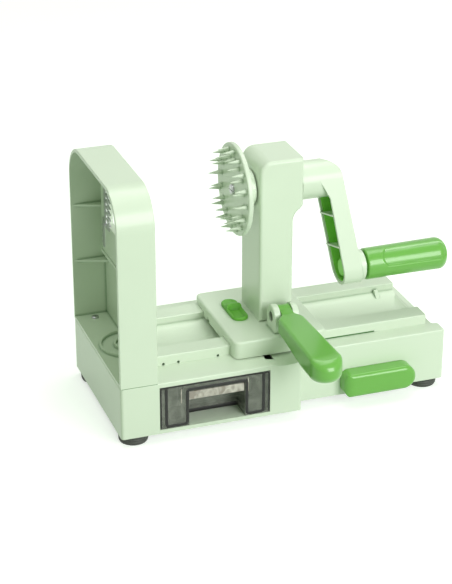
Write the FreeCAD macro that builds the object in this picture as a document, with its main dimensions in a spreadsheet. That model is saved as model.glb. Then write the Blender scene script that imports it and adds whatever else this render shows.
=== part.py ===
import FreeCAD, Part
import math
import os
import re

from FreeCAD import Placement, Rotation, Vector

# Hand-cranked spiralizer: a base with rails and a drawer, an arch-shaped tower with the
# blade cartridge, and a carriage whose column carries the spiked disc and the crank.
#
# Lengths are in millimetres. While the pieces are drawn, X runs from the tower's open face
# to the crank, Y from the drawer front to the back and Z up from the base's lower face.
# At the end every piece is shifted so that the origin lies on the table, under the middle
# of the whole product's box.

doc = FreeCAD.newDocument("Spiralizer")
sheet = doc.addObject("Spreadsheet::Sheet", "Sizes")

DRIVING_SIZES = [
    # base
    ("base_length", 270.0, "base, along X"),
    ("base_width", 130.5, "base's wide part, along Y"),
    ("base_height", 42.4, "base, lower face to ledge"),
    ("wide_length", 144.3, "length of the wide part under the tower"),
    ("narrow_inset", 13.2, "step from the wide part's sides to the narrow part's"),
    ("shell_wall", 2.6, "wall of base and tower"),
    ("corner_round", 2.4, "upright corners of the base"),
    ("edge_round", 1.0, "top edges of the base"),
    ("cover_thick", 3.1, "bottom cover"),
    ("cover_gap", 0.15, "bottom cover inside the shell"),
    ("foot_radius", 11.8, "rubber foot"),
    ("foot_height", 7.5, "rubber foot below the base"),
    ("foot_inset", 12.6, "foot's centre from the base's sides"),
    ("trough_play", 0.3, "opening in the ledge, all round the channel"),
    ("end_notch", 5.0, "notch in the base's right end, along X"),
    ("end_notch_drop", 9.0, "notch in the base's right end, below the ledge"),
    ("end_notch_start", 14.0, "notch in the base's right end, behind the narrow front"),
    ("scoop_radius", 46.0, "shallow dish in the ledge"),
    ("scoop_depth", 1.5, "shallow dish in the ledge"),
    ("scoop_middle", 132.0, "dish's middle, along X"),
    ("vent_left", 118.6, "slot beside the front rail"),
    ("vent_length", 7.0, "slot beside the front rail, along X"),
    ("vent_width", 16.4, "slot beside the front rail, along Y"),
    ("screw_radius", 1.5, "screws and their holes"),
    ("screw_head", 2.8, "screw heads"),
    ("screw_cap", 1.6, "screw heads, height"),
    ("boss_tube", 4.1, "screw bosses, outside"),
    # rails
    ("track_front", 27.8, "front rail's front face"),
    ("track_width", 80.1, "over both rails"),
    ("track_length", 230.6, "rails, from the tower"),
    ("rail_width", 16.6, "one rail"),
    ("rail_height", 8.0, "rail above the ledge"),
    ("channel_drop", 10.4, "channel's lowest line below the rail tops"),
    ("channel_wall", 2.2, "channel floor"),
    ("groove_height", 2.0, "claw groove in the rails' inner faces"),
    ("groove_depth", 3.4, "claw groove"),
    ("groove_level", 2.2, "claw grooves below the rail tops"),
    ("channel_rim", 4.6, "channel's sides above its lowest line"),
    ("rail_round", 0.9, "rails' top edges"),
    ("mark_radius", 1.05, "small round holes in the front rail"),
    ("mark_depth", 9.0, "small round holes in the front rail"),
    ("release_height", 1.2, "slot under the front rail"),
    ("release_depth", 2.4, "slot under the front rail"),
    ("strip_left", 80.0, "strip behind the rear rail"),
    ("strip_width", 4.1, "strip behind the rear rail"),
    ("strip_drop", 1.8, "strip below the rail tops"),
    ("stop_inset", 17.9, "wedge stop, from the rails' right end"),
    ("stop_thick", 3.0, "wedge stop, along X"),
    ("stop_reach", 8.0, "wedge stop, from the rear rail inward"),
    ("stop_crest", 3.0, "wedge stop below the rail tops"),
    ("ramp_length", 9.0, "ramp that ends the channel on the right"),
    ("ramp_lip", 1.0, "flat lip of that ramp"),
    # tower
    ("tower_depth", 29.0, "tower, along X"),
    ("tower_rise", 152.0, "tower above the ledge"),
    ("tower_round", 29.0, "tower's upper corners"),
    ("gusset_thick", 1.6, "ribs inside the tower"),
    ("gusset_reach", 9.0, "ribs, at the window wall"),
    ("low_gusset", 92.0, "lower ribs above the base's lower face"),
    ("high_gusset", 139.0, "upper ribs above the base's lower face"),
    ("window_rim", 3.0, "window's edge inside the cartridge's outline"),
    ("window_round", 12.0, "window's corners"),
    ("shelf_thick", 2.2, "ledge under the cartridge"),
    ("guide_thick", 1.8, "guides beside the cartridge"),
    ("guide_drop", 16.0, "guides below the cartridge's top"),
    ("deck_rib", 1.4, "round ribs on the tower's floor"),
    ("deck_rib_rise", 2.6, "round ribs on the tower's floor"),
    # blade cartridge
    ("cartridge_side", 15.45, "cartridge frame from the tower's sides"),
    ("cartridge_height", 81.6, "cartridge frame, along Z"),
    ("cartridge_thick", 5.2, "cartridge frame, along X"),
    ("cartridge_top_gap", 3.6, "cartridge below the tower's ceiling"),
    ("blade_thick", 0.8, "blade steel"),
    ("slot_margin", 12.8, "slicing slot from the cartridge frame's side"),
    ("slot_height", 31.0, "slicing slot"),
    ("core_radius", 4.6, "coring tube, outside"),
    ("core_length", 19.0, "coring tube"),
    ("core_wall", 0.7, "coring tube"),
    ("core_lead", 3.0, "coring tube left of the cartridge"),
    ("slot_offset", 2.4, "slicing slot behind the coring tube"),
    ("slot_lift", 0.6, "slicing slot's top above the crank axis"),
    ("blade_lift", 8.0, "blade above the slot"),
    ("blade_hang", 5.0, "blade's edge below the slot's top"),
    ("blade_lean", 2.6, "blade's edge out of the frame"),
    ("comb_pitch", 4.8, "comb teeth"),
    ("side_slot_gap", 6.0, "side slot behind the slicing slot"),
    ("side_slot_width", 5.0, "side slot"),
    ("side_slot_height", 20.0, "side slot"),
    # drawer
    ("drawer_left", 30.4, "drawer's left side"),
    ("drawer_width", 87.6, "drawer front"),
    ("spare_room", 1.8, "play along the spare cartridges in the drawer"),
    ("drawer_height", 35.1, "drawer front"),
    ("drawer_bottom", 3.4, "drawer above the base's lower face"),
    ("drawer_wall", 2.2, "drawer walls"),
    ("pull_left", 22.9, "finger recess from the drawer's left side"),
    ("pull_width", 44.8, "finger recess"),
    ("pull_depth", 18.2, "finger recess"),
    ("pull_height", 28.8, "finger recess"),
    ("spare_pitch", 8.8, "spare cartridges, one above the other"),
    ("spare_lift", 2.9, "lowest spare frame above the tray's floor"),
    # carriage
    ("carriage_left", 95.7, "carriage plate's left end"),
    ("carriage_length", 75.0, "carriage plate"),
    ("carriage_front", 17.4, "carriage plate's front edge"),
    ("carriage_width", 95.6, "carriage plate"),
    ("plate_thick", 6.0, "carriage plate over the rails"),
    ("slide_gap", 0.3, "running gap on the rails"),
    ("skirt_gap", 0.6, "front skirt above the ledge"),
    ("plate_corner", 5.0, "carriage plate's upright corners"),
    ("plate_edge", 1.6, "carriage plate's top edges"),
    ("ear_radius", 9.1, "hinge ear"),
    ("ear_thick", 5.0, "hinge ear"),
    ("ear_spread", 10.4, "between the two ears"),
    ("pin_rise", 11.2, "hinge pin above the carriage plate"),
    ("pin_setback", 14.4, "hinge pin behind the plate's front edge"),
    ("pin_radius", 2.5, "hinge pin"),
    ("pin_head", 3.5, "hinge pin's head"),
    ("pin_head_thick", 1.0, "hinge pin's head"),
    ("pin_recess", 0.9, "hinge pin's ends inside the ears"),
    ("pin_well", 4.2, "well round the hinge pin's head"),
    ("pin_place", 140.3, "middle of the hinge pin, along X"),
    ("claw_length", 7.0, "claws in the front rail's groove, along X"),
    ("claw_inset", 4.0, "claws from the plate's ends"),
    ("claw_reach", 2.6, "claws beyond the guide web"),
    ("claw_play", 0.4, "claws above and below, in the groove"),
    ("web_inset", 4.0, "guide web from the plate's right end"),
    ("web_notch_start", 77.0, "notch in the guide web's left end"),
    ("web_notch_width", 6.6, "notch in the guide web's left end, along Y"),
    ("web_notch_height", 2.4, "notch in the guide web's left end"),
    # column
    ("column_left", 126.3, "column's left face"),
    ("column_length", 27.1, "column, along X"),
    ("column_front", 46.3, "column's front face"),
    ("column_width", 42.6, "column, along Y"),
    ("column_rise", 131.4, "column above the carriage plate"),
    ("column_wall", 2.6, "column shell"),
    ("head_reach", 7.9, "column head beyond the shank"),
    ("head_drop", 38.7, "straight part of the head's right face"),
    ("head_curve", 12.3, "height of the curve under the head"),
    ("head_round", 9.6, "column's upper left edge"),
    ("head_chamfer", 2.4, "head's lower right edge"),
    ("column_edge", 2.4, "column's front and back edges"),
    ("column_boss", 22.0, "screw bosses in the column"),
    ("column_screw_inset", 6.2, "column screws from the shank's faces"),
    # crank
    ("crank_rise", 106.0, "crank axis above the carriage plate"),
    ("shaft_radius", 4.0, "drive shaft"),
    ("bore_gap", 0.05, "round a turning shaft"),
    ("bush_radius", 7.0, "shaft bush, outside"),
    ("bush_length", 7.0, "shaft bush"),
    ("washer_thick", 1.2, "thrust washer"),
    ("disc_cap", 1.2, "disc in front of the shaft's end"),
    ("disc_radius", 36.0, "spiked disc"),
    ("disc_thick", 4.0, "spiked disc"),
    ("collar_radius", 14.0, "disc's collar"),
    ("collar_length", 10.1, "disc's collar"),
    ("spike_length", 9.2, "spike"),
    ("spike_radius", 1.9, "spike at its foot"),
    ("spike_point", 0.15, "spike at its point"),
    ("collar_flare", 3.0, "flare between disc and collar"),
    ("hub_radius", 15.0, "crank hub"),
    ("hub_length", 21.7, "crank hub, to the arm"),
    ("arm_throw", 71.8, "crank axis to grip axis"),
    ("arm_tilt", 15.0, "arm's swing forward of straight down, in degrees"),
    ("arm_thick", 13.0, "arm at the crank axis, along X"),
    ("arm_thicken", 1.7, "arm's gain in thickness over the throw"),
    ("arm_lean", 8.8, "arm's outward lean over the throw"),
    ("arm_overlap", 2.0, "hub's reach into the arm"),
    ("arm_end_radius", 13.6, "arm's lower end"),
    ("elbow_radius", 15.0, "arm's elbow"),
    ("rib_thick", 1.2, "cross ribs in the arm"),
    ("upper_rib", 28.8, "upper cross rib below the crank axis"),
    ("lower_rib", 54.0, "lower cross rib below the crank axis"),
    ("arm_wall", 2.3, "arm's shell"),
    ("liner_thick", 0.8, "coloured liner in the arm"),
    ("liner_inset", 1.5, "coloured liner behind the arm's open rim"),
    ("boss_radius", 12.0, "boss behind the grip"),
    ("boss_length", 4.9, "boss behind the grip"),
    ("grip_length", 70.6, "grip"),
    ("grip_root_radius", 12.4, "grip at the boss"),
    ("grip_radius", 13.0, "grip near its end"),
    ("grip_end_round", 8.0, "grip's rounded end"),
    ("grip_gap", 0.5, "between boss and grip"),
    ("spindle_radius", 4.0, "grip spindle"),
    ("groove_radius", 12.0, "finger grooves in the grip"),
    ("groove_sink", 1.7, "finger grooves in the grip"),
    ("groove_start", 18.0, "finger grooves from the grip's root"),
    ("spindle_stop", 13.0, "spindle's bore short of the grip's end"),
    ("spindle_head", 2.4, "spindle's head, height and overhang"),
    # push lever
    ("lever_reach", 98.8, "push lever, hinge pin to tip"),
    ("lever_neck", 9.6, "push lever between the ears"),
    ("lever_root_width", 21.0, "push lever at its shoulders"),
    ("lever_tip_width", 24.6, "push lever near its tip"),
    ("lever_top", 5.4, "push lever's top above the hinge pin"),
    ("lever_knuckle", 8.0, "push lever's round knuckle"),
    ("lever_edge", 3.0, "push lever's upper edges"),
    ("lever_belly", 5.0, "deeper underside near the tip"),
    ("lever_belly_length", 24.0, "deeper underside near the tip"),
    # latch
    ("latch_left", 108.0, "latch button's left side"),
    ("latch_width", 13.0, "latch button"),
    ("latch_front", 52.6, "latch button's front end"),
    ("latch_length", 37.0, "latch button"),
    ("latch_thick", 2.6, "latch button"),
    ("latch_travel", 3.0, "latch travel"),
    ("latch_lift", 0.2, "latch button above the plate"),
    ("ridge_rise", 3.4, "thumb ridge above the button"),
    ("ridge_inset", 0.4, "thumb ridge from the button's sides"),
    ("ridge_ramp", 8.0, "thumb ridge's ramp, behind its crest"),
    ("ridge_front", 3.2, "thumb ridge's hollow face, before its crest"),
    ("stem_width", 5.8, "stem under the button, along X"),
    ("stem_length", 12.0, "stem under the button, along Y"),
    ("bolt_width", 8.0, "latch bolt, along X"),
    ("latch_play", 0.3, "round the stem and the bolt"),
    # suction foot
    ("pill_left", 181.4, "suction lever's left end"),
    ("pill_length", 59.6, "suction lever"),
    ("pill_bottom", 2.2, "suction lever above the base's lower face"),
    ("pill_height", 19.8, "suction lever"),
    ("pill_thick", 13.0, "suction lever, along Y"),
    ("cam_radius", 6.6, "eccentric on the suction shaft"),
    ("cam_offset", 2.0, "eccentric's offset"),
    ("cam_width", 8.0, "eccentric, along Y"),
    ("pill_square", 3.6, "suction lever's left end, roundings"),
    ("pill_edge", 1.6, "suction lever's front edges"),
    ("pill_socket", 4.0, "suction lever's front wall before the shaft"),
    ("bracket_spread", 20.0, "between the bearing walls"),
    ("bracket_wall", 3.0, "bearing walls"),
    ("bracket_left", 40.0, "bearing walls left of the shaft"),
    ("bracket_right", 34.0, "bearing walls right of the shaft"),
    ("bracket_rise", 8.0, "bearing walls above the shaft's axis"),
    ("yoke_play", 0.4, "round the eccentric"),
    ("yoke_wall", 3.0, "yoke round the eccentric"),
    ("plunger_radius", 5.0, "stem down to the pad"),
    ("pad_top", 2.4, "pad's top below the base's lower face"),
    ("pad_radius", 30.0, "suction pad"),
    ("pad_clearance", 0.6, "suction pad above the table when released"),
]

for row, (alias, value, meaning) in enumerate(DRIVING_SIZES, 1):
    sheet.set(f"A{row}", meaning)
    sheet.set(f"B{row}", str(value))
    sheet.setAlias(f"B{row}", alias)
doc.recompute()

ALIASES = {alias for alias, value, meaning in DRIVING_SIZES}


class SheetValues:
    """Reads a driving size from the sheet by its alias."""

    def __getattr__(self, alias):
        return float(sheet.get(alias))


size = SheetValues()
TINY = 0.01          # overlap that lets two solids of one piece fuse cleanly
CUT_MARGIN = 1.0     # how far a cutting solid reaches past what it cuts


# ---------------------------------------------------------------- helpers

def bound(text):
    """Write an expression on the sheet's cells: each alias gets the sheet's name."""
    words = re.findall(r"[a-z_]+|[^a-z_]+", str(text))
    return "".join("Sizes." + word if word in ALIASES else word for word in words)


def bind(obj, **cells):
    """Bind properties of an object to the sheet, such as Length or Placement.Base.x."""
    for prop, text in cells.items():
        obj.setExpression(prop, bound(text))
    return obj


def move_to(obj, x, y, z):
    for axis, text in zip("xyz", (x, y, z)):
        obj.setExpression("Placement.Base." + axis, bound(text))
    return obj


def block(name, length, width, height, x, y, z):
    """A box bound to the sheet, with its lowest corner at x, y, z."""
    box = doc.addObject("Part::Box", name)
    bind(box, Length=length, Width=width, Height=height)
    return move_to(box, x, y, z)


AXIS_TURN = {
    "x": Rotation(Vector(0, 1, 0), 90),
    "y": Rotation(Vector(1, 0, 0), -90),
    "z": Rotation(),
}


def rod(name, axis, radius, height, x, y, z):
    """A cylinder bound to the sheet that starts at x, y, z and runs along an axis."""
    cylinder = doc.addObject("Part::Cylinder", name)
    cylinder.Placement = Placement(Vector(), AXIS_TURN[axis])
    bind(cylinder, Radius=radius, Height=height)
    return move_to(cylinder, x, y, z)


def fuse(name, pieces):
    united = doc.addObject("Part::MultiFuse", name)
    united.Shapes = pieces
    united.Refine = True
    return united


def cut(name, body, tools):
    """Take one or more tools away from a body."""
    result = doc.addObject("Part::Cut", name)
    result.Base = body
    result.Tool = tools[0] if len(tools) == 1 else fuse(name + "_tools", tools)
    result.Refine = True
    return result


def rounded(name, body, radius, chosen):
    """Fillet the edges of a body that the chosen test picks."""
    doc.recompute()
    fillet = doc.addObject("Part::Fillet", name)
    fillet.Base = body
    picked = [i for i, edge in enumerate(body.Shape.Edges, 1) if chosen(edge)]
    fillet.Edges = [(i, radius, radius) for i in picked]
    return fillet


def feature(name, shape):
    solid = doc.addObject("Part::Feature", name)
    solid.Shape = shape
    return solid


def ends(edge):
    return edge.Vertexes[0].Point, edge.Vertexes[-1].Point


def runs_along(edge, axis):
    """True for a straight edge parallel to an axis."""
    if len(edge.Vertexes) < 2 or not isinstance(edge.Curve, Part.Line):
        return False
    start, finish = ends(edge)
    across = [abs(getattr(finish, a) - getattr(start, a)) for a in "xyz" if a != axis]
    return max(across) < 1e-6


def lies_at(edge, axis, level):
    """True for an edge whose whole box lies at one level of an axis."""
    box = edge.BoundBox
    low, high = getattr(box, axis.upper() + "Min"), getattr(box, axis.upper() + "Max")
    return abs(low - level) < 1e-3 and abs(high - level) < 1e-3


def polygon(points):
    """A closed wire through points; an item (mid, end) makes an arc to its end."""
    edges = []
    here = points[0]
    for item in points[1:] + [points[0]]:
        if isinstance(item, tuple):
            middle, there = item
            edges.append(Part.Arc(here, middle, there).toShape())
        else:
            there = item
            edges.append(Part.LineSegment(here, there).toShape())
        here = there
    return Part.Wire(edges)


def prism(points, direction):
    return Part.Face(polygon(points)).extrude(direction)


def cylinder_x(radius, x0, x1, y, z):
    return Part.makeCylinder(radius, x1 - x0, Vector(x0, y, z), Vector(1, 0, 0))


def cylinder_y(radius, y0, y1, x, z):
    return Part.makeCylinder(radius, y1 - y0, Vector(x, y0, z), Vector(0, 1, 0))


def cylinder_z(radius, z0, z1, x, y):
    return Part.makeCylinder(radius, z1 - z0, Vector(x, y, z0))


def span_box(x0, x1, y0, y1, z0, z1):
    return Part.makeBox(x1 - x0, y1 - y0, z1 - z0, Vector(x0, y0, z0))


def united(first, others):
    return first.fuse(others).removeSplitter()


def soften(shape, radius, chosen):
    """Fillet the chosen edges of a plain shape."""
    return shape.makeFillet(radius, [edge for edge in shape.Edges if chosen(edge)])


# ---------------------------------------------------------------- places worked out once

MIDDLE_Y = size.base_width / 2
RAIL_TOP = size.base_height + size.rail_height
TRACK_BACK = size.track_front + size.track_width
CHANNEL_FRONT = size.track_front + size.rail_width
CHANNEL_BACK = TRACK_BACK - size.rail_width
CHANNEL_MIDDLE = (CHANNEL_FRONT + CHANNEL_BACK) / 2
CHANNEL_FLOOR = RAIL_TOP - size.channel_drop
CHANNEL_UNDER = CHANNEL_FLOOR - size.channel_wall
TRACK_END = size.tower_depth + size.track_length
TOWER_TOP = size.base_height + size.tower_rise
WEB_FACE = size.tower_depth - size.shell_wall
PLATE_TOP = RAIL_TOP + size.slide_gap + size.plate_thick
PLATE_UNDER = RAIL_TOP + size.slide_gap
CARRIAGE_RIGHT = size.carriage_left + size.carriage_length
CARRIAGE_BACK = size.carriage_front + size.carriage_width
CRANK_Z = PLATE_TOP + size.crank_rise
COLUMN_RIGHT = size.column_left + size.column_length
COLUMN_FRONT = size.column_front
CRANK_Y = MIDDLE_Y
COLUMN_TOP = PLATE_TOP + size.column_rise
HEAD_RIGHT = COLUMN_RIGHT + size.head_reach
PIN_X = size.pin_place
PIN_Y = size.carriage_front + size.pin_setback
PIN_Z = PLATE_TOP + size.pin_rise
HUB_LEFT = HEAD_RIGHT + size.bore_gap + size.washer_thick
HUB_RIGHT = HUB_LEFT + size.hub_length
COLLAR_RIGHT = size.column_left - size.bore_gap - size.washer_thick
DISC_BACK = COLLAR_RIGHT - size.collar_length
DISC_FACE = DISC_BACK - size.disc_thick
ARM_RIM_X = HUB_RIGHT - size.arm_overlap
ARM_OUTER_END = ARM_RIM_X + size.arm_lean + size.arm_thick + size.arm_thicken
BOSS_RIGHT = ARM_OUTER_END + size.boss_length
GRIP_LEFT = BOSS_RIGHT + size.grip_gap
GRIP_RIGHT = GRIP_LEFT + size.grip_length
TILT = math.radians(size.arm_tilt)
GRIP_Y = CRANK_Y - size.arm_throw * math.sin(TILT)
GRIP_Z = CRANK_Z - size.arm_throw * math.cos(TILT)
LEVER_TIP_Y = PIN_Y - size.lever_reach
PILL_RADIUS = size.pill_height / 2
CAM_X = size.pill_left + size.pill_length - PILL_RADIUS
CAM_Z = size.pill_bottom + PILL_RADIUS
CARTRIDGE_TOP = TOWER_TOP - size.shell_wall - size.cartridge_top_gap
CARTRIDGE_BOTTOM = CARTRIDGE_TOP - size.cartridge_height
CARTRIDGE_FRONT = size.cartridge_side
CARTRIDGE_BACK = size.base_width - size.cartridge_side
CARTRIDGE_WIDTH = CARTRIDGE_BACK - CARTRIDGE_FRONT
DRAWER_DEPTH = CARTRIDGE_WIDTH + size.pull_depth + 2 * size.drawer_wall + size.spare_room
CARTRIDGE_RIGHT = WEB_FACE - size.slide_gap
CARTRIDGE_LEFT = CARTRIDGE_RIGHT - size.cartridge_thick

# The origin on the table, under the middle of the whole product's box at rest.
ORIGIN_X = GRIP_RIGHT / 2
ORIGIN_Y = (size.base_width + LEVER_TIP_Y) / 2
SHIFT = Placement(Vector(-ORIGIN_X, -ORIGIN_Y, size.foot_height), Rotation())

EMBED = 0.3              # how far a rib or post is sunk into the wall that carries it

nodes = []


def node(label, body):
    """Name a finished piece, and shift it from its drawing place to the product's frame."""
    bound_place = any(path.startswith("Placement") for path, text in body.ExpressionEngine)
    if bound_place:
        wrap = doc.addObject("Part::Compound", label)
        wrap.Links = [body]
        body = wrap
    body.Label = label
    body.Placement = SHIFT.multiply(body.Placement)
    nodes.append(body)
    return body


# ---------------------------------------------------------------- base

PAD_CLEARANCE = 2.0      # the cover's opening round the suction pad


def base_corners():
    """Foot centres: two in the wide part's corners, two in the narrow part's."""
    inset = size.foot_inset
    left, right = inset, size.base_length - inset
    narrow = inset + size.narrow_inset
    return [(left, inset), (left, size.base_width - inset),
            (right, narrow), (right, size.base_width - narrow)]


def base_housing():
    """The base shell, open below, with the drawer's mouth in front."""
    wide = block("housing_wide", "wide_length", "base_width", "base_height", 0, 0, 0)
    narrow = block("housing_narrow", "base_length - wide_length / 2",
                   "base_width - 2 * narrow_inset", "base_height",
                   "wide_length / 2", "narrow_inset", 0)
    notch = block("end_notch_cut", f"end_notch + {CUT_MARGIN}", "base_width",
                  f"end_notch_drop + {CUT_MARGIN}", "base_length - end_notch",
                  "narrow_inset + end_notch_start", "base_height - end_notch_drop")
    outline = cut("housing_outline", fuse("housing_outside", [wide, narrow]), [notch])
    upright = rounded("housing_corners", outline, size.corner_round,
                      lambda edge: runs_along(edge, "z"))
    outside = rounded("housing_edges", upright, size.edge_round,
                      lambda edge: lies_at(edge, "z", size.base_height))
    hollow_wide = block("hollow_wide", "wide_length - 2 * shell_wall",
                        "base_width - 2 * shell_wall", "base_height",
                        "shell_wall", "shell_wall", "-shell_wall")
    hollow_narrow = block("hollow_narrow",
                          "base_length - wide_length / 2 - end_notch - shell_wall",
                          "base_width - 2 * narrow_inset - 2 * shell_wall", "base_height",
                          "wide_length / 2", "narrow_inset + shell_wall", "-shell_wall")
    hollow_end = block("hollow_end", "base_length - wide_length / 2 - shell_wall",
                       "base_width - 2 * narrow_inset - 2 * shell_wall",
                       "base_height - end_notch_drop", "wide_length / 2",
                       "narrow_inset + shell_wall", "-shell_wall")
    mouth = block("drawer_mouth", "drawer_width + 2 * slide_gap", "3 * shell_wall",
                  "drawer_height + 2 * slide_gap", "drawer_left - slide_gap",
                  "-shell_wall", "drawer_bottom - slide_gap")
    trough = block("channel_window", "track_length + 2 * trough_play",
                   "track_width - 2 * rail_width + channel_wall + 2 * trough_play",
                   "3 * shell_wall", "tower_depth - trough_play",
                   "track_front + rail_width - channel_wall / 2 - trough_play",
                   "base_height - 2 * shell_wall")
    shaft_hole = rod("suction_shaft_hole", "y", "shaft_radius + bore_gap", "4 * shell_wall",
                     CAM_X, "narrow_inset - shell_wall", CAM_Z)
    screw_holes = [rod("tower_screw_hole", "z", "screw_radius", "3 * shell_wall", x, y,
                       "base_height - 2 * shell_wall") for x, y in tower_screw_places()]
    scoop = rod("ledge_scoop", "y", "scoop_radius", f"track_front + {CUT_MARGIN}",
                "scoop_middle", -CUT_MARGIN, "base_height - scoop_depth + scoop_radius")
    vent = block("ledge_vent", "vent_length", "vent_width", "3 * shell_wall",
                 "vent_left", "track_front - vent_width", "base_height - 2 * shell_wall")
    return cut("base_housing", outside,
               [hollow_wide, hollow_narrow, hollow_end, mouth, trough, shaft_hole, scoop, vent]
               + screw_holes)


def tower_screw_places():
    inset = 4 * size.shell_wall
    middle = size.tower_depth / 2
    return [(middle, inset), (middle, size.base_width - inset)]


TRACK_MARKS = (42.0, 54.0, 85.6)     # places of the small marks along X


def rail_track():
    """Two rails with a shallow round channel between them, one profile along X."""
    x0, x1 = size.tower_depth, TRACK_END
    ledge, top = size.base_height, RAIL_TOP
    y0, y1, y2, y3 = size.track_front, CHANNEL_FRONT, CHANNEL_BACK, TRACK_BACK
    floor, under, middle = CHANNEL_FLOOR, CHANNEL_UNDER, CHANNEL_MIDDLE
    foot_in = size.channel_wall / 2
    rim = floor + size.channel_rim

    def at(y, z):
        return Vector(x0, y, z)

    outline = [
        at(y0, ledge), at(y0, top), at(y1, top), at(y1, rim),
        (at(middle, floor), at(y2, rim)), at(y2, top), at(y3, top), at(y3, ledge),
        at(y2 + foot_in, ledge), (at(middle, under), at(y1 - foot_in, ledge)),
    ]
    track = prism(outline, Vector(x1 - x0, 0, 0))
    track = soften(track, size.rail_round, lambda edge: runs_along(edge, "x")
                   and lies_at(edge, "z", top))
    groove_top = top - size.groove_level
    groove = span_box(x0 - CUT_MARGIN, x1 + CUT_MARGIN, y1 - size.groove_depth,
                      y1 + CUT_MARGIN, groove_top - size.groove_height, groove_top)
    release_left = size.carriage_left + size.carriage_length * 0.6
    release_right = CARRIAGE_RIGHT + size.carriage_length * 0.6
    release = span_box(release_left, release_right, y0 - CUT_MARGIN,
                       y0 + size.release_depth, ledge - CUT_MARGIN,
                       ledge + size.release_height)
    marks = [cylinder_y(size.mark_radius, y0 - CUT_MARGIN, y0 + size.mark_depth, x,
                        ledge + size.mark_radius) for x in TRACK_MARKS]
    track = track.cut(groove).cut(release).cut(Part.makeCompound(marks))
    strip_back = y3 + size.strip_width
    strip = span_box(size.strip_left, x1, y3 - EMBED, strip_back, ledge,
                     top - size.strip_drop)
    strip = soften(strip, size.strip_width * 0.8, lambda edge: runs_along(edge, "z")
                   and lies_at(edge, "x", size.strip_left) and lies_at(edge, "y", strip_back))
    stop_left, stop_low, crest = x1 - size.stop_inset, floor + EMBED, top - size.stop_crest
    stop = prism([Vector(stop_left, y2 + EMBED, rim - EMBED),
                  Vector(stop_left, y2 - size.stop_reach * 0.2, crest),
                  Vector(stop_left, y2 - size.stop_reach * 0.4, crest),
                  Vector(stop_left, y2 - size.stop_reach, stop_low + size.channel_rim / 3),
                  Vector(stop_left, y2 - size.stop_reach, stop_low)],
                 Vector(size.stop_thick, 0, 0))
    bowl = prism([at(y1 - foot_in, ledge), (at(middle, under), at(y2 + foot_in, ledge))],
                 Vector(x1 - x0, 0, 0))
    stop_ramp = bowl.common(stop.fuse(span_box(x1 - size.ramp_length, x1, y1 - foot_in,
                                               y2 + foot_in, under, ledge)))
    run, rise = size.ramp_length - size.ramp_lip, ledge - floor
    sweep = (run * run + rise * rise) / (2 * rise)
    ramp = stop_ramp.cut(cylinder_y(sweep, y0, y3, x1 - size.ramp_length, floor + sweep))
    return feature("rail_track", united(track, [strip, stop, ramp]))


def bottom_cover():
    """Floor of the base, with the suction pad's round opening and screw bosses."""
    wide = block("cover_wide", "wide_length - 2 * shell_wall - 2 * cover_gap",
                 "base_width - 2 * shell_wall - 2 * cover_gap", "cover_thick",
                 "shell_wall + cover_gap", "shell_wall + cover_gap", 0)
    narrow = block("cover_narrow", "base_length - wide_length / 2 - shell_wall - cover_gap",
                   "base_width - 2 * narrow_inset - 2 * shell_wall - 2 * cover_gap",
                   "cover_thick", "wide_length / 2",
                   "narrow_inset + shell_wall + cover_gap", 0)
    opening = rod("pad_opening", "z", f"pad_radius + {PAD_CLEARANCE}", "3 * cover_thick",
                  CAM_X - size.cam_offset, MIDDLE_Y, "-cover_thick")
    bosses = [rod("cover_boss", "z", "boss_tube", "base_height - shell_wall - cover_thick",
                  x, y, "cover_thick") for x, y in cover_screw_places()]
    holes = [rod("cover_hole", "z", "screw_radius", "4 * cover_thick", x, y, -CUT_MARGIN)
             for x, y in cover_screw_places()]
    cover = fuse("cover_with_bosses", [wide, narrow] + bosses)
    return cut("bottom_cover", cover, [opening] + holes)


def cover_screw_places():
    """Two screws beside the drawer bay and two in the narrow part, before the pad."""
    inset = size.foot_inset
    drawer_right = size.drawer_left + size.drawer_width
    wide_x, narrow_x = (drawer_right + size.wide_length) / 2, size.wide_length + 2 * inset
    narrow_y = inset + size.narrow_inset
    return [(wide_x, 1.2 * inset), (wide_x, size.base_width - 1.2 * inset),
            (narrow_x, narrow_y), (narrow_x, size.base_width - narrow_y)]


SLOT_HALF = 0.4          # half the width of a screw's driving slot


def screw(x, y, z, length, up):
    """A pan-head screw along Z; its head's flat lies at z and its shank points up or down."""
    turn = 1 if up else -1
    start = Vector(x, y, z)
    cap, radius = size.screw_cap, size.screw_head
    shank = Part.makeCylinder(size.screw_radius, length, start, Vector(0, 0, turn))
    head = Part.makeCylinder(radius, cap, start, Vector(0, 0, -turn))
    head = soften(head, cap * 0.45, lambda edge: lies_at(edge, "z", z - turn * cap))
    low, high = sorted((z - turn * cap, z - turn * cap / 2))
    slot = span_box(x - radius, x + radius, y - SLOT_HALF, y + SLOT_HALF, low, high)
    return head.cut(slot).fuse(shank).removeSplitter()


def cover_screws():
    length = 3 * size.cover_thick
    screws = [screw(x, y, 0, length, True) for x, y in cover_screw_places()]
    return feature("cover_screws", Part.makeCompound(screws))


def tower_screws():
    seat = size.base_height + size.shell_wall
    length = 4 * size.shell_wall
    screws = [screw(x, y, seat, length, False) for x, y in tower_screw_places()]
    return feature("tower_screws", Part.makeCompound(screws))


# The foot's side as shares of its radius and height, from the base down.
FOOT_SIDE = ((0.96, 0.0), (1.0, 0.15), (0.95, 0.28), (0.99, 0.42),
             (0.94, 0.56), (0.97, 0.7), (0.95, 0.86), (0.9, 1.0))


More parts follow.
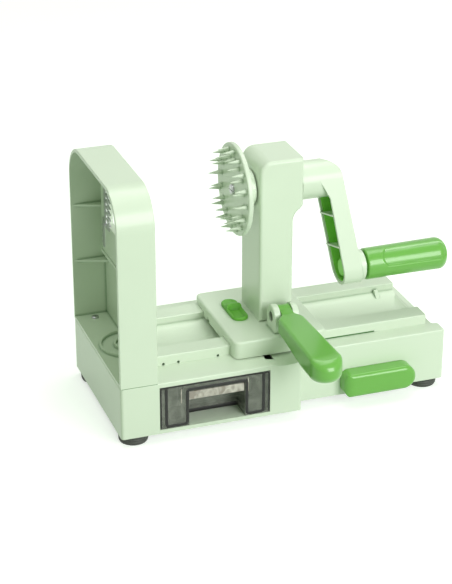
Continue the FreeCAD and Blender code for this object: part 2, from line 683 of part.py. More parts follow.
def rubber_feet():
    """Four ringed rubber feet glued under the base."""
    radius, height = size.foot_radius, size.foot_height
    side = [Vector(share * radius, 0, -drop * height) for share, drop in FOOT_SIDE]
    outline = [Vector()] + side + [Vector(0, 0, -height)]
    feet = []
    for x, y in base_corners():
        foot = Part.Face(polygon(outline)).revolve(Vector(), Vector(0, 0, 1), 360)
        foot.translate(Vector(x, y, 0))
        feet.append(foot)
    return feature("rubber_feet", Part.makeCompound(feet))


# ---------------------------------------------------------------- tower

def arch(x0, x1, inset, bottom):
    """A solid with the tower's round-shouldered outline, inset all round."""
    y0, y1 = inset, size.base_width - inset
    top = TOWER_TOP - inset
    radius = size.tower_round - inset
    slant = radius * (1 - math.sqrt(0.5))

    def at(y, z):
        return Vector(x0, y, z)

    outline = [
        at(y0, bottom), at(y0, top - radius),
        (at(y0 + slant, top - slant), at(y0 + radius, top)), at(y1 - radius, top),
        (at(y1 - slant, top - slant), at(y1, top - radius)), at(y1, bottom),
    ]
    return prism(outline, Vector(x1 - x0, 0, 0))


TOWER_EDGE = 0.7                     # rounding of the tower's rims
DECK_RIB_RADII = (12.0, 23.0)        # the two round ribs on the tower's floor


def tower_hood():
    """The arch: an open-faced box whose right-hand wall has the slicing window."""
    floor, wall = size.base_height, size.shell_wall
    shell = arch(0, size.tower_depth, 0, floor)
    shell = soften(shell, TOWER_EDGE, lambda edge: lies_at(edge, "x", 0)
                   or lies_at(edge, "x", size.tower_depth))
    shell = shell.cut(arch(-CUT_MARGIN, WEB_FACE, wall, floor + wall))
    rim = size.window_rim
    window = span_box(WEB_FACE - CUT_MARGIN, size.tower_depth + CUT_MARGIN,
                      CARTRIDGE_FRONT + rim, CARTRIDGE_BACK - rim,
                      CARTRIDGE_BOTTOM + rim, CARTRIDGE_TOP - rim)
    window = soften(window, size.window_round, lambda edge: runs_along(edge, "x"))
    shell = shell.cut(window)
    web = WEB_FACE + EMBED
    extras = []
    for level in (size.low_gusset, size.high_gusset):
        for wall_y, inward in ((wall, 1), (size.base_width - wall, -1)):
            reach = wall_y + inward * size.gusset_reach
            hold = wall_y - inward * EMBED
            extras.append(prism([Vector(TOWER_EDGE + EMBED, hold, level),
                                 Vector(web, hold, level), Vector(web, reach, level)],
                                Vector(0, 0, size.gusset_thick)))
    shelf_top = CARTRIDGE_BOTTOM - size.slide_gap
    extras.append(span_box(CARTRIDGE_LEFT - CUT_MARGIN, web, CARTRIDGE_FRONT,
                           CARTRIDGE_BACK, shelf_top - size.shelf_thick, shelf_top))
    front, back = CARTRIDGE_FRONT - size.slide_gap, CARTRIDGE_BACK + size.slide_gap
    for y0, y1 in ((front - size.guide_thick, front), (back, back + size.guide_thick)):
        extras.append(span_box(CARTRIDGE_LEFT + CUT_MARGIN, web, y0, y1,
                               shelf_top - size.shelf_thick,
                               CARTRIDGE_TOP - size.guide_drop))
    deck = floor + wall
    ribs = span_box(0, web, 0, size.base_width, deck - EMBED, deck + size.deck_rib_rise)
    for radius in DECK_RIB_RADII:
        ring = cylinder_z(radius, floor, TOWER_TOP, WEB_FACE, MIDDLE_Y)
        ring = ring.cut(cylinder_z(radius - size.deck_rib, floor, TOWER_TOP,
                                   WEB_FACE, MIDDLE_Y))
        extras.append(ring.common(ribs))
    shell = united(shell, extras)
    holes = [cylinder_z(size.screw_radius, floor - CUT_MARGIN, deck + CUT_MARGIN, x, y)
             for x, y in tower_screw_places()]
    return feature("tower_hood", shell.cut(Part.makeCompound(holes)))


# ---------------------------------------------------------------- blade cartridge

SLOT_TOP = CRANK_Z + size.slot_lift
SLOT_BOTTOM = SLOT_TOP - size.slot_height
SLOT_FRONT = CRANK_Y + size.core_radius + size.slot_offset
SLOT_BACK = CARTRIDGE_BACK - size.slot_margin
SIDE_SLOT_FRONT = SLOT_BACK + size.side_slot_gap
SIDE_SLOT_LOW = CARTRIDGE_BOTTOM + size.side_slot_gap
CARTRIDGE_SHOULDER = 15.0            # the cartridge's upper corners
CARTRIDGE_FOOT = 4.0                 # its lower corners
RECESS_DEPTH = 1.4                   # the panel recess in its left face


def cartridge_plate(right):
    """Plate with a round coring hole and the slicing slot behind it."""
    left = right - size.cartridge_thick
    before, after = left - CUT_MARGIN, right + CUT_MARGIN
    plate = span_box(left, right, CARTRIDGE_FRONT, CARTRIDGE_BACK,
                     CARTRIDGE_BOTTOM, CARTRIDGE_TOP)
    plate = soften(plate, CARTRIDGE_SHOULDER, lambda edge: runs_along(edge, "x")
                   and lies_at(edge, "z", CARTRIDGE_TOP))
    plate = soften(plate, CARTRIDGE_FOOT, lambda edge: runs_along(edge, "x")
                   and lies_at(edge, "z", CARTRIDGE_BOTTOM))
    bore = cylinder_x(size.core_radius, before, after, CRANK_Y, CRANK_Z)
    slot = span_box(before, after, SLOT_FRONT, SLOT_BACK, SLOT_BOTTOM, SLOT_TOP)
    slot = soften(slot, CARTRIDGE_FOOT, lambda edge: runs_along(edge, "x"))
    side_slot = span_box(before, after, SIDE_SLOT_FRONT,
                         SIDE_SLOT_FRONT + size.side_slot_width,
                         SIDE_SLOT_LOW, SIDE_SLOT_LOW + size.side_slot_height)
    recess = span_box(before, left + RECESS_DEPTH,
                      CARTRIDGE_FRONT + CARTRIDGE_FOOT, CRANK_Y - 2 * size.core_radius,
                      CARTRIDGE_BOTTOM + CARTRIDGE_FOOT, CARTRIDGE_TOP - CARTRIDGE_SHOULDER)
    recess = soften(recess, CARTRIDGE_FOOT, lambda edge: runs_along(edge, "x"))
    rim = cylinder_x(size.core_radius + size.slot_offset, left - CUT_MARGIN, left + EMBED,
                     CRANK_Y, CRANK_Z)
    body = plate.cut(Part.makeCompound([bore, slot, side_slot, recess]))
    return united(body, [rim.cut(bore)])


def cartridge_frame():
    return feature("cartridge_frame", cartridge_plate(CARTRIDGE_RIGHT))


def steel_blade(right):
    """A sharp strip that leans over the slot's upper edge and faces the vegetable."""
    y0 = SLOT_FRONT - CUT_MARGIN
    foot = SLOT_TOP + CUT_MARGIN
    crown = SLOT_TOP + size.blade_lift
    face = right + size.blade_thick
    profile = [Vector(right, y0, crown), Vector(face, y0, crown), Vector(face, y0, foot),
               Vector(right + size.blade_lean, y0, SLOT_TOP - size.blade_hang),
               Vector(right, y0, foot)]
    return prism(profile, Vector(0, SLOT_BACK - SLOT_FRONT + size.blade_lift, 0))


def slicing_blade():
    return feature("slicing_blade", steel_blade(CARTRIDGE_RIGHT))


def tooth(x, y, z, reach, height):
    """A small pointed tooth in the plane of a strip, pointing along -Y or +Y."""
    return prism([Vector(x, y, z), Vector(x, y + reach, z + height / 4),
                  Vector(x, y, z + height)], Vector(size.blade_thick, 0, 0))


def julienne_comb():
    """Upright toothed strip across the slot, and a short toothed strip by the side slot."""
    right = CARTRIDGE_LEFT
    left = right - size.blade_thick
    pitch = size.comb_pitch
    teeth_y, gaps_y = SLOT_BACK - 2.1 * pitch, SLOT_BACK - 1.5 * pitch
    back_y = SLOT_BACK + 0.6 * pitch
    strip = span_box(left, right, teeth_y, back_y, SLOT_BOTTOM - 0.6 * pitch,
                     SLOT_TOP + 0.4 * pitch)
    count = int(size.slot_height // pitch)
    levels = [SLOT_BOTTOM + pitch * (i + 0.4) for i in range(count)]
    teeth = [tooth(left, teeth_y + TINY, z, -pitch, pitch * 0.55) for z in levels]
    gaps = [span_box(left - CUT_MARGIN, right + CUT_MARGIN, gaps_y, gaps_y + pitch,
                     z, z + pitch / 2) for z in levels]
    strip = united(strip, teeth).cut(Part.makeCompound(gaps))
    short_y0 = SIDE_SLOT_FRONT - 0.3 * pitch
    short_y1 = SIDE_SLOT_FRONT + 0.6 * pitch
    short = span_box(left, right, short_y0, short_y1, SIDE_SLOT_LOW - 0.4 * pitch,
                     SIDE_SLOT_LOW + size.side_slot_height + 0.4 * pitch)
    short_count = int(size.side_slot_height // pitch)
    short_teeth = [tooth(left, short_y1 - TINY, SIDE_SLOT_LOW + pitch * i, pitch / 2,
                         pitch / 2) for i in range(short_count)]
    return feature("julienne_comb",
                   Part.makeCompound([strip, united(short, short_teeth)]))


def coring_tube():
    """Thin tube on the crank's axis; its sharp mouth points at the vegetable."""
    x0 = CARTRIDGE_LEFT - size.core_lead
    x1 = x0 + size.core_length
    tube = cylinder_x(size.core_radius, x0, x1, CRANK_Y, CRANK_Z)
    bore = cylinder_x(size.core_radius - size.core_wall, x0 - CUT_MARGIN, x1 + CUT_MARGIN,
                      CRANK_Y, CRANK_Z)
    return feature("coring_tube", tube.cut(bore))


def blade_screws():
    """Two small rivets at the ends of the comb strip."""
    radius, height, inset = 1.3, 0.9, 1.4
    face = CARTRIDGE_LEFT - size.blade_thick
    heads = [cylinder_x(radius, face - height, face, SLOT_BACK + inset, z)
             for z in (SLOT_BOTTOM - inset, SLOT_TOP + inset - CUT_MARGIN)]
    return feature("blade_screws", Part.makeCompound(heads))


# ---------------------------------------------------------------- drawer

DRAWER_FRONT = size.slide_gap
TRAY_TOP = CHANNEL_UNDER - 2 * size.slide_gap
SPARE_COUNT = 3
SPARE_GAP = 0.4          # between the spare cartridges and the tray's back wall


def drawer_box():
    """Tray open above, lower behind its front so that it passes under the channel.

    The finger recess in its front is open in front and below.
    """
    shell = block("drawer_outside", "drawer_width", DRAWER_DEPTH, "drawer_height",
                  "drawer_left", DRAWER_FRONT, "drawer_bottom")
    inside = block("drawer_inside", "drawer_width - 2 * drawer_wall",
                   f"{DRAWER_DEPTH} - 2 * drawer_wall", "drawer_height",
                   "drawer_left + drawer_wall", f"{DRAWER_FRONT} + drawer_wall",
                   "drawer_bottom + drawer_wall")
    liner = block("pull_liner", "pull_width + 2 * drawer_wall", "pull_depth + drawer_wall",
                  "pull_height + drawer_wall", "drawer_left + pull_left - drawer_wall",
                  DRAWER_FRONT, "drawer_bottom")
    recess = block("pull_recess", "pull_width", f"pull_depth + {CUT_MARGIN}",
                   f"pull_height + {CUT_MARGIN}", "drawer_left + pull_left",
                   DRAWER_FRONT - CUT_MARGIN, f"drawer_bottom - {CUT_MARGIN}")
    low_part = block("tray_lowering", f"drawer_width + 2 * {CUT_MARGIN}", DRAWER_DEPTH,
                     "drawer_height", f"drawer_left - {CUT_MARGIN}",
                     f"{DRAWER_FRONT} + pull_depth + drawer_wall", TRAY_TOP)
    tray = cut("drawer_tray", shell, [inside, low_part])
    return cut("drawer_box", fuse("drawer_with_liner", [tray, liner]), [recess])


def spare_places():
    """Lay a cartridge flat in the tray, blade downward; one turn and shift for each."""
    middle_x = size.drawer_left + size.drawer_width / 2
    back_y = DRAWER_FRONT + DRAWER_DEPTH - size.drawer_wall - SPARE_GAP
    floor = size.drawer_bottom + size.drawer_wall
    lay = Placement(Vector(), Rotation(Vector(0, 1, 0), 90))
    source = Vector(CARTRIDGE_RIGHT, MIDDLE_Y, (CARTRIDGE_BOTTOM + CARTRIDGE_TOP) / 2)
    from_tower = Placement(-source, Rotation())
    for i in range(SPARE_COUNT):
        level = floor + size.spare_lift + i * size.spare_pitch
        target = Vector(middle_x, back_y - CARTRIDGE_WIDTH / 2, level)
        yield Placement(target, Rotation()).multiply(lay).multiply(from_tower)


def spare_frames():
    frames = []
    for place in spare_places():
        plate = cartridge_plate(CARTRIDGE_RIGHT)
        plate.Placement = place
        frames.append(plate)
    return feature("spare_frames", Part.makeCompound(frames))


def spare_blades():
    blades = []
    for place in spare_places():
        blade = steel_blade(CARTRIDGE_RIGHT)
        blade.Placement = place
        blades.append(blade)
    return feature("spare_blades", Part.makeCompound(blades))


# ---------------------------------------------------------------- carriage

def claw_levels():
    """Lower and upper face of the claws that ride in the rails' grooves."""
    groove_top = RAIL_TOP - size.groove_level
    return groove_top - size.groove_height + size.claw_play, groove_top - size.claw_play


def latch_middle():
    return size.latch_left + size.latch_width / 2


def column_screw_places():
    inset = size.column_screw_inset
    return [(x, y) for x in (size.column_left + inset, COLUMN_RIGHT - inset)
            for y in (COLUMN_FRONT + inset, COLUMN_FRONT + size.column_width - inset)]


EAR_ROUND = 1.1                      # the ears' outer edges
SCREW_SEAT = PLATE_UNDER + 2.6       # where the column screws' heads bear
SCREW_SEAT_PLAY = 0.4                # round those heads
BOLT_TOP = PLATE_UNDER - 0.7         # upper face of the latch bolt


def hinge_ear(side):
    """One ear for the hinge pin, left (-1) or right (+1) of the push lever."""
    near = PIN_X + side * size.ear_spread / 2
    far = near + side * size.ear_thick
    x0, x1 = min(near, far), max(near, far)
    ear = span_box(x0, x1, PIN_Y - size.ear_radius, PIN_Y + size.ear_radius,
                   PLATE_TOP - size.plate_thick / 2, PIN_Z)
    ear = united(ear, [cylinder_x(size.ear_radius, x0, x1, PIN_Y, PIN_Z)])
    return soften(ear, EAR_ROUND, lambda edge: lies_at(edge, "x", far)
                  and edge.BoundBox.ZMax > PLATE_TOP)


def carriage_plate():
    """Plate over both rails, with a front skirt, a guide web in the channel and two ears.

    Two claws on the web's front side ride in the front rail's groove.
    """
    x0, x1 = size.carriage_left, CARRIAGE_RIGHT
    y0, y1 = size.carriage_front, CARRIAGE_BACK
    low_claw, high_claw = claw_levels()
    skirt_back = size.track_front - size.slide_gap
    slab = span_box(x0, x1, y0, y1, PLATE_UNDER, PLATE_TOP)
    skirt = span_box(x0, x1, y0, skirt_back, size.base_height + size.skirt_gap, PLATE_TOP)
    body = united(slab, [skirt])
    body = soften(body, size.plate_corner, lambda edge: runs_along(edge, "z")
                  and not lies_at(edge, "y", skirt_back))
    body = soften(body, size.plate_edge, lambda edge: lies_at(edge, "z", PLATE_TOP))
    web_y0, web_y1 = CHANNEL_FRONT + size.slide_gap, CHANNEL_BACK - size.slide_gap
    extras = [span_box(x0, x1 - size.web_inset, web_y0, web_y1, low_claw,
                       PLATE_UNDER + TINY)]
    for claw_x in (x0 + size.claw_inset, x1 - size.claw_inset - size.claw_length):
        extras.append(span_box(claw_x, claw_x + size.claw_length, web_y0 - size.claw_reach,
                               web_y0 + CUT_MARGIN, low_claw, high_claw))
    body = united(body, extras + [hinge_ear(-1), hinge_ear(1)])
    ear_left = PIN_X - size.ear_spread / 2 - size.ear_thick
    ear_right = PIN_X + size.ear_spread / 2 + size.ear_thick
    head_floor = ear_left + size.pin_recess + size.pin_head_thick
    cuts = [cylinder_x(size.pin_radius, ear_left - CUT_MARGIN, ear_right + CUT_MARGIN,
                       PIN_Y, PIN_Z),
            cylinder_x(size.pin_well, ear_left - CUT_MARGIN, head_floor, PIN_Y, PIN_Z),
            span_box(x0 - CUT_MARGIN, x0 + size.claw_length, size.web_notch_start,
                     size.web_notch_start + size.web_notch_width,
                     low_claw - CUT_MARGIN, low_claw + size.web_notch_height)]
    middle, play = latch_middle(), size.latch_play
    stem_y0, stem_y1 = latch_stem_span()
    stem_half, bolt_half = size.stem_width / 2 + play, size.bolt_width / 2 + play
    cuts.append(span_box(middle - stem_half, middle + stem_half,
                         stem_y0 - size.latch_travel - play, stem_y1 + play,
                         low_claw - CUT_MARGIN, PLATE_TOP + CUT_MARGIN))
    cuts.append(span_box(middle - bolt_half, middle + bolt_half,
                         web_y0 - size.claw_reach - CUT_MARGIN, stem_y1 + play,
                         low_claw - CUT_MARGIN, BOLT_TOP + play))
    for x, y in column_screw_places():
        cuts.append(cylinder_z(size.screw_radius, low_claw - CUT_MARGIN,
                               PLATE_TOP + CUT_MARGIN, x, y))
        cuts.append(cylinder_z(size.screw_head + SCREW_SEAT_PLAY, low_claw - CUT_MARGIN,
                               SCREW_SEAT, x, y))
    return feature("carriage_plate", body.cut(Part.makeCompound(cuts)))


def column_outline(inset):
    """Column and head in side view, inset all round; the head steps out to the crank."""
    left, right = size.column_left + inset, COLUMN_RIGHT - inset
    top = COLUMN_TOP - inset
    head_right = HEAD_RIGHT - inset
    bottom = PLATE_TOP - (CUT_MARGIN if inset else 0)
    radius = size.head_round - inset
    slant = radius * (1 - math.sqrt(0.5))
    chamfer = size.head_chamfer
    drop = COLUMN_TOP - size.head_drop + inset * 0.5
    knee = drop - size.head_curve

    # The curve under the head is an arc that leaves the shank upright.
    out, up = head_right - chamfer - right, size.head_curve - chamfer
    curve = (out * out + up * up) / (2 * out)
    half = (math.pi - math.atan2(up, out - curve)) / 2
    bend = Vector(right + curve * (1 - math.cos(half)), COLUMN_FRONT,
                  knee + curve * math.sin(half))

    def at(x, z):
        return Vector(x, COLUMN_FRONT, z)

    return [
        at(left, bottom), at(left, top - radius),
        (at(left + slant, top - slant), at(left + radius, top)),
        at(head_right, top), at(head_right, drop), at(head_right - chamfer, drop - chamfer),
        (bend, at(right, knee)), at(right, bottom),
    ]


def column_body():
    """Hollow column; a bearing tube runs through its head."""
    front, back = COLUMN_FRONT, COLUMN_FRONT + size.column_width
    wall = size.column_wall
    outside = prism(column_outline(0), Vector(0, size.column_width, 0))
    outside = soften(outside, size.column_edge, lambda edge: lies_at(edge, "y", front)
                     or lies_at(edge, "y", back))
    inside = prism(column_outline(wall), Vector(0, size.column_width - 2 * wall, 0))
    inside.translate(Vector(0, wall, 0))
    shell = outside.cut(inside)
    tube = cylinder_x(size.bush_radius + wall, size.column_left + EMBED, HEAD_RIGHT - EMBED,
                      CRANK_Y, CRANK_Z)
    bosses = [cylinder_z(size.boss_tube, PLATE_TOP, PLATE_TOP + size.column_boss, x, y)
              for x, y in column_screw_places()]
    shell = united(shell, [tube] + bosses)
    before, after = size.column_left - CUT_MARGIN, HEAD_RIGHT + CUT_MARGIN
    bores = [
        cylinder_x(size.bush_radius, before, size.column_left + size.bush_length,
                   CRANK_Y, CRANK_Z),
        cylinder_x(size.bush_radius, HEAD_RIGHT - size.bush_length, after,
                   CRANK_Y, CRANK_Z),
        cylinder_x((size.shaft_radius + size.bush_radius) / 2, before, after,
                   CRANK_Y, CRANK_Z),
    ]
    bores += [cylinder_z(size.screw_radius, PLATE_TOP - CUT_MARGIN,
                         PLATE_TOP + size.column_boss / 2, x, y)
              for x, y in column_screw_places()]
    return feature("column_body", shell.cut(Part.makeCompound(bores)))


def column_screws():
    length = PLATE_TOP - SCREW_SEAT + size.column_boss / 3
    screws = [screw(x, y, SCREW_SEAT, length, True) for x, y in column_screw_places()]
    return feature("column_screws", Part.makeCompound(screws))


def shaft_bushes():
    """A bush at each side of the column's head."""
    bore = size.shaft_radius + size.bore_gap
    bushes = []
    for x0 in (size.column_left, HEAD_RIGHT - size.bush_length):
        x1 = x0 + size.bush_length
        bush = cylinder_x(size.bush_radius, x0, x1, CRANK_Y, CRANK_Z)
        bushes.append(bush.cut(cylinder_x(bore, x0 - CUT_MARGIN, x1 + CUT_MARGIN,
                                          CRANK_Y, CRANK_Z)))
    return feature("shaft_bushes", Part.makeCompound(bushes))


def hinge_pin():
    """Steel pin pressed into both ears; its round head shows in the left ear."""
    x0 = PIN_X - size.ear_spread / 2 - size.ear_thick + size.pin_recess
    x1 = PIN_X + size.ear_spread / 2 + size.ear_thick - size.pin_recess
    shank = cylinder_x(size.pin_radius, x0 + EMBED, x1, PIN_Y, PIN_Z)
    head = cylinder_x(size.pin_head, x0, x0 + size.pin_head_thick, PIN_Y, PIN_Z)
    return feature("hinge_pin", united(head, [shank]))


# ---------------------------------------------------------------- latch

def latch_stem_span():
    """Front and back of the stem that ties the button to the bolt."""
    middle = size.latch_front + size.latch_length / 2
    return middle - size.stem_length / 2, middle + size.stem_length / 2


def stadium(x0, x1, y0, y1, z0, z1):
    """A bar with half-round ends, upright along Z."""
    radius = (x1 - x0) / 2
    middle = x0 + radius
    bar = span_box(x0, x1, y0 + radius, y1 - radius, z0, z1)
    return united(bar, [cylinder_z(radius, z0, z1, middle, y0 + radius),
                        cylinder_z(radius, z0, z1, middle, y1 - radius)])


def latch_button():
    """Button with half-round ends and a thumb ridge across its middle."""
    x0, x1 = size.latch_left, size.latch_left + size.latch_width
    y0, y1 = size.latch_front, size.latch_front + size.latch_length
    z0 = PLATE_TOP + size.latch_lift
    z1 = z0 + size.latch_thick
    bar = stadium(x0, x1, y0, y1, z0, z1)
    bar = soften(bar, size.latch_thick / 3, lambda edge: lies_at(edge, "z", z1))
    rise = size.ridge_rise
    crest_y = (y0 + y1) / 2 + size.ridge_front / 3

    def at(y, z):
        return Vector(x0 + size.ridge_inset, crest_y + y, z1 + z)

    front, ramp = size.ridge_front, size.ridge_ramp
    ridge = prism([at(-front, -EMBED), at(-front, 0), (at(-front * 0.22, rise * 0.32), at(0, rise)),
                   at(EMBED, rise), (at(ramp * 0.42, rise * 0.36), at(ramp, 0)),
                   at(ramp, -EMBED)],
                  Vector(size.latch_width - 2 * size.ridge_inset, 0, 0))
    stem_y0, stem_y1 = latch_stem_span()
    stem_half = size.stem_width / 2
    stem = span_box(latch_middle() - stem_half, latch_middle() + stem_half,
                    stem_y0, stem_y1, BOLT_TOP, z0 + TINY)
    return feature("latch_button", united(bar, [ridge, stem]))


def latch_bolt():
    """Sliding bolt under the plate; its thin tip enters the front rail's groove."""
    low_claw, high_claw = claw_levels()
    middle, half = latch_middle(), size.bolt_width / 2
    stem_y1 = latch_stem_span()[1]
    web_y0 = CHANNEL_FRONT + size.slide_gap
    shoulder = web_y0 + size.latch_travel + size.claw_play
    tip = span_box(middle - half, middle + half, web_y0 + EMBED, shoulder + CUT_MARGIN,
                   low_claw, high_claw)
    bar = span_box(middle - half, middle + half, shoulder, stem_y1, low_claw, BOLT_TOP)
    return feature("latch_bolt", united(bar, [tip]))


# ---------------------------------------------------------------- crank

SPIKE_RINGS = ((31.0, 16, 5.0), (25.6, 16, -12.0))     # radius, count, first angle


def spiked_disc():
    """Disc with a collar behind it and two rings of cone spikes in front."""
    disc = cylinder_x(size.disc_radius, DISC_FACE, DISC_BACK, CRANK_Y, CRANK_Z)
    disc = soften(disc, size.disc_thick * 0.3, lambda edge: lies_at(edge, "x", DISC_FACE)
                  or lies_at(edge, "x", DISC_BACK))
    collar = cylinder_x(size.collar_radius, DISC_BACK - EMBED, COLLAR_RIGHT,
                        CRANK_Y, CRANK_Z)
    flare = Part.makeCone(size.collar_radius + size.collar_flare, size.collar_radius,
                          size.collar_flare, Vector(DISC_BACK - TINY, CRANK_Y, CRANK_Z),
                          Vector(1, 0, 0))
    spikes = []
    for ring_radius, count, first in SPIKE_RINGS:
        for i in range(count):
            angle = math.radians(first + 360.0 / count * i)
            centre = Vector(DISC_FACE + EMBED, CRANK_Y + ring_radius * math.cos(angle),
                            CRANK_Z + ring_radius * math.sin(angle))
            spikes.append(Part.makeCone(size.spike_radius, size.spike_point,
                                        size.spike_length + EMBED, centre,
                                        Vector(-1, 0, 0)))
    body = united(disc, [collar, flare] + spikes)
    bore = cylinder_x(size.shaft_radius, DISC_FACE + size.disc_cap,
                      COLLAR_RIGHT + CUT_MARGIN, CRANK_Y, CRANK_Z)
    screw_hole = cylinder_x(size.shaft_radius / 2, DISC_FACE - CUT_MARGIN,
                            DISC_FACE + size.disc_cap + TINY, CRANK_Y, CRANK_Z)
    return feature("spiked_disc", body.cut(bore).cut(screw_hole))


def disc_screw():
    """Screw that holds the disc on the shaft's end."""
    radius, cap = size.shaft_radius, size.shaft_radius / 2
    head = cylinder_x(radius, DISC_FACE - cap, DISC_FACE, CRANK_Y, CRANK_Z)
    head = soften(head, cap / 2, lambda edge: lies_at(edge, "x", DISC_FACE - cap))
    slot = span_box(DISC_FACE - cap - CUT_MARGIN, DISC_FACE - cap / 2,
                    CRANK_Y - radius, CRANK_Y + radius,
                    CRANK_Z - SLOT_HALF, CRANK_Z + SLOT_HALF)
    shank = cylinder_x(size.shaft_radius / 2, DISC_FACE - TINY, DISC_FACE + size.disc_cap,
                       CRANK_Y, CRANK_Z)
    return feature("disc_screw", united(head.cut(slot), [shank]))


SHAFT_RIGHT = HUB_RIGHT - 6.0        # the shaft ends inside the crank hub


def drive_shaft():
    return feature("drive_shaft", cylinder_x(size.shaft_radius, DISC_FACE + size.disc_cap,
                                             SHAFT_RIGHT, CRANK_Y, CRANK_Z))


def thrust_washers():
    """One washer behind the disc's collar and one before the crank hub."""
    bore = size.shaft_radius + TINY
    washers = []
    for x0 in (COLLAR_RIGHT, HUB_LEFT - size.washer_thick):
        x1 = x0 + size.washer_thick
        washer = cylinder_x(size.bush_radius, x0, x1, CRANK_Y, CRANK_Z)
        washers.append(washer.cut(cylinder_x(bore, x0 - CUT_MARGIN, x1 + CUT_MARGIN,
                                             CRANK_Y, CRANK_Z)))
    return feature("thrust_washers", Part.makeCompound(washers))


def hanging(shape):
    """Swing a shape that hangs straight down from the crank axis forward by the tilt."""
    shape.rotate(Vector(0, CRANK_Y, CRANK_Z), Vector(1, 0, 0), -size.arm_tilt)
    return shape


def arm_front(grow, x0, x1):
    """The arm seen along X: a bar that tapers from the hub's round to the end's."""
    top_radius, end_radius = size.hub_radius + grow, size.arm_end_radius + grow
    sine = (top_radius - end_radius) / size.arm_throw
    cosine = math.sqrt(1 - sine * sine)
    end_z = CRANK_Z - size.arm_throw

    def at(y, z):
        return Vector(x0, CRANK_Y + y, z)

    outline = [
        at(-top_radius * cosine, CRANK_Z - top_radius * sine),
        (at(0, CRANK_Z + top_radius), at(top_radius * cosine, CRANK_Z - top_radius * sine)),
        at(end_radius * cosine, end_z - end_radius * sine),
        (at(0, end_z - end_radius), at(-end_radius * cosine, end_z - end_radius * sine)),
    ]
    return prism(outline, Vector(x1 - x0, 0, 0))


RIM_START = 8.0          # the arm's elbow begins this far left of the rim
RIM_DROP = 15.0          # the rim turns straight this far below the crank axis


def arm_side(inset):
    """The arm seen along Y: elbow above, open rim on the left, outer face on the right."""
    low = CRANK_Z - size.arm_throw - size.arm_end_radius - CUT_MARGIN
    top = CRANK_Z + size.hub_radius - inset
    y0 = CRANK_Y - 2 * size.hub_radius
    elbow = size.elbow_radius
    bend_z = top - elbow
    rim_x = ARM_RIM_X - (CUT_MARGIN if inset else 0.0)
    outer_x = ARM_RIM_X + size.arm_thick - inset

    def at(x, z):
        return Vector(x, y0, z)

    def rim(z):
        return rim_x + size.arm_lean * (CRANK_Z - z) / size.arm_throw

    def outer(z):
        lean = size.arm_lean + size.arm_thicken
        return outer_x + lean * (CRANK_Z - z) / size.arm_throw

    knee = CRANK_Z - RIM_DROP
    outline = [
        at(rim_x - RIM_START, top), at(outer_x - elbow, top),
        (at(outer_x - elbow * 0.26, top - elbow * 0.31), at(outer(bend_z), bend_z)),
        at(outer(low), low), at(rim(low), low), at(rim(knee), knee),
        (at(rim_x - RIM_START * 0.38, CRANK_Z - RIM_DROP * 0.4),
         at(rim_x - RIM_START, CRANK_Z + RIM_DROP * 0.2)),
    ]
    return prism(outline, Vector(0, 4 * size.hub_radius, 0))


CORE_RADIUS = size.spindle_radius + 3.0          # post round the spindle, in the arm
CORE_LEFT = ARM_OUTER_END - size.arm_thick + 4.0
ARM_NEAR = ARM_RIM_X - 2 * RIM_START             # past the arm's solids, left and right
ARM_FAR = ARM_OUTER_END + size.arm_end_radius


def arm_hollow(wall):
    """The arm's hollow inside a wall, below the round of the hub."""
    hollow = arm_front(-wall, ARM_NEAR, ARM_FAR).common(arm_side(wall))
    return hollow.cut(cylinder_x(size.hub_radius, HUB_LEFT, ARM_FAR, CRANK_Y, CRANK_Z))


def rib_slabs():
    """Flat slabs at the levels of the two cross ribs, wider than the arm."""
    half = size.rib_thick / 2
    return [span_box(ARM_NEAR, ARM_FAR, CRANK_Y - size.hub_radius, CRANK_Y + size.hub_radius,
                     CRANK_Z - drop - half, CRANK_Z - drop + half)
            for drop in (size.upper_rib, size.lower_rib)]


def boss_and_core():
    """Boss behind the grip, and the post round the spindle inside the arm."""
    boss_z = CRANK_Z - size.arm_throw
    return [cylinder_x(size.boss_radius, ARM_OUTER_END - 2 * size.arm_wall, BOSS_RIGHT,
                       CRANK_Y, boss_z),
            cylinder_x(CORE_RADIUS, CORE_LEFT, BOSS_RIGHT - CUT_MARGIN, CRANK_Y, boss_z)]


def crank_arm():
    """Round hub, rounded elbow and a hollow arm, open on its left, with two cross ribs."""
    near, far = ARM_NEAR, ARM_FAR
    hub = cylinder_x(size.hub_radius, HUB_LEFT, HUB_RIGHT - CUT_MARGIN, CRANK_Y, CRANK_Z)
    bar = arm_front(0, near, far).common(arm_side(0))
    hollow = arm_hollow(size.arm_wall)
    inner = arm_front(-size.arm_wall / 2, near, far).common(arm_side(size.rib_thick / 2))
    ribs = [slab.common(inner) for slab in rib_slabs()]
    arm = united(bar.cut(hollow), ribs + [hub] + boss_and_core())
    spindle_hole = cylinder_x(size.spindle_radius, near, far, CRANK_Y,
                              CRANK_Z - size.arm_throw)
    shaft_hole = cylinder_x(size.shaft_radius, HUB_LEFT - CUT_MARGIN, SHAFT_RIGHT,
                            CRANK_Y, CRANK_Z)
    return feature("crank_arm", hanging(arm.cut(spindle_hole).cut(shaft_hole)))


def arm_liner():
    """Coloured skin in the arm's hollow, parted by the cross ribs."""
    skin = arm_hollow(size.arm_wall).cut(arm_hollow(size.arm_wall + size.liner_thick))
    behind_rim = arm_side(0).translated(Vector(size.liner_inset, 0, 0))
    liner = skin.common(behind_rim).cut(rib_slabs() + boss_and_core())
    return feature("arm_liner", hanging(liner))


def handle_spindle():
    """Steel spindle fixed in the arm's boss, with a head inside the arm."""
    overhang = size.spindle_head
    stem = cylinder_x(size.spindle_radius, CORE_LEFT,
                      GRIP_RIGHT - size.spindle_stop - CUT_MARGIN, GRIP_Y, GRIP_Z)
    head = cylinder_x(size.spindle_radius + overhang, CORE_LEFT - overhang, CORE_LEFT,
                      GRIP_Y, GRIP_Z)
    return feature("handle_spindle", united(stem, [head]))


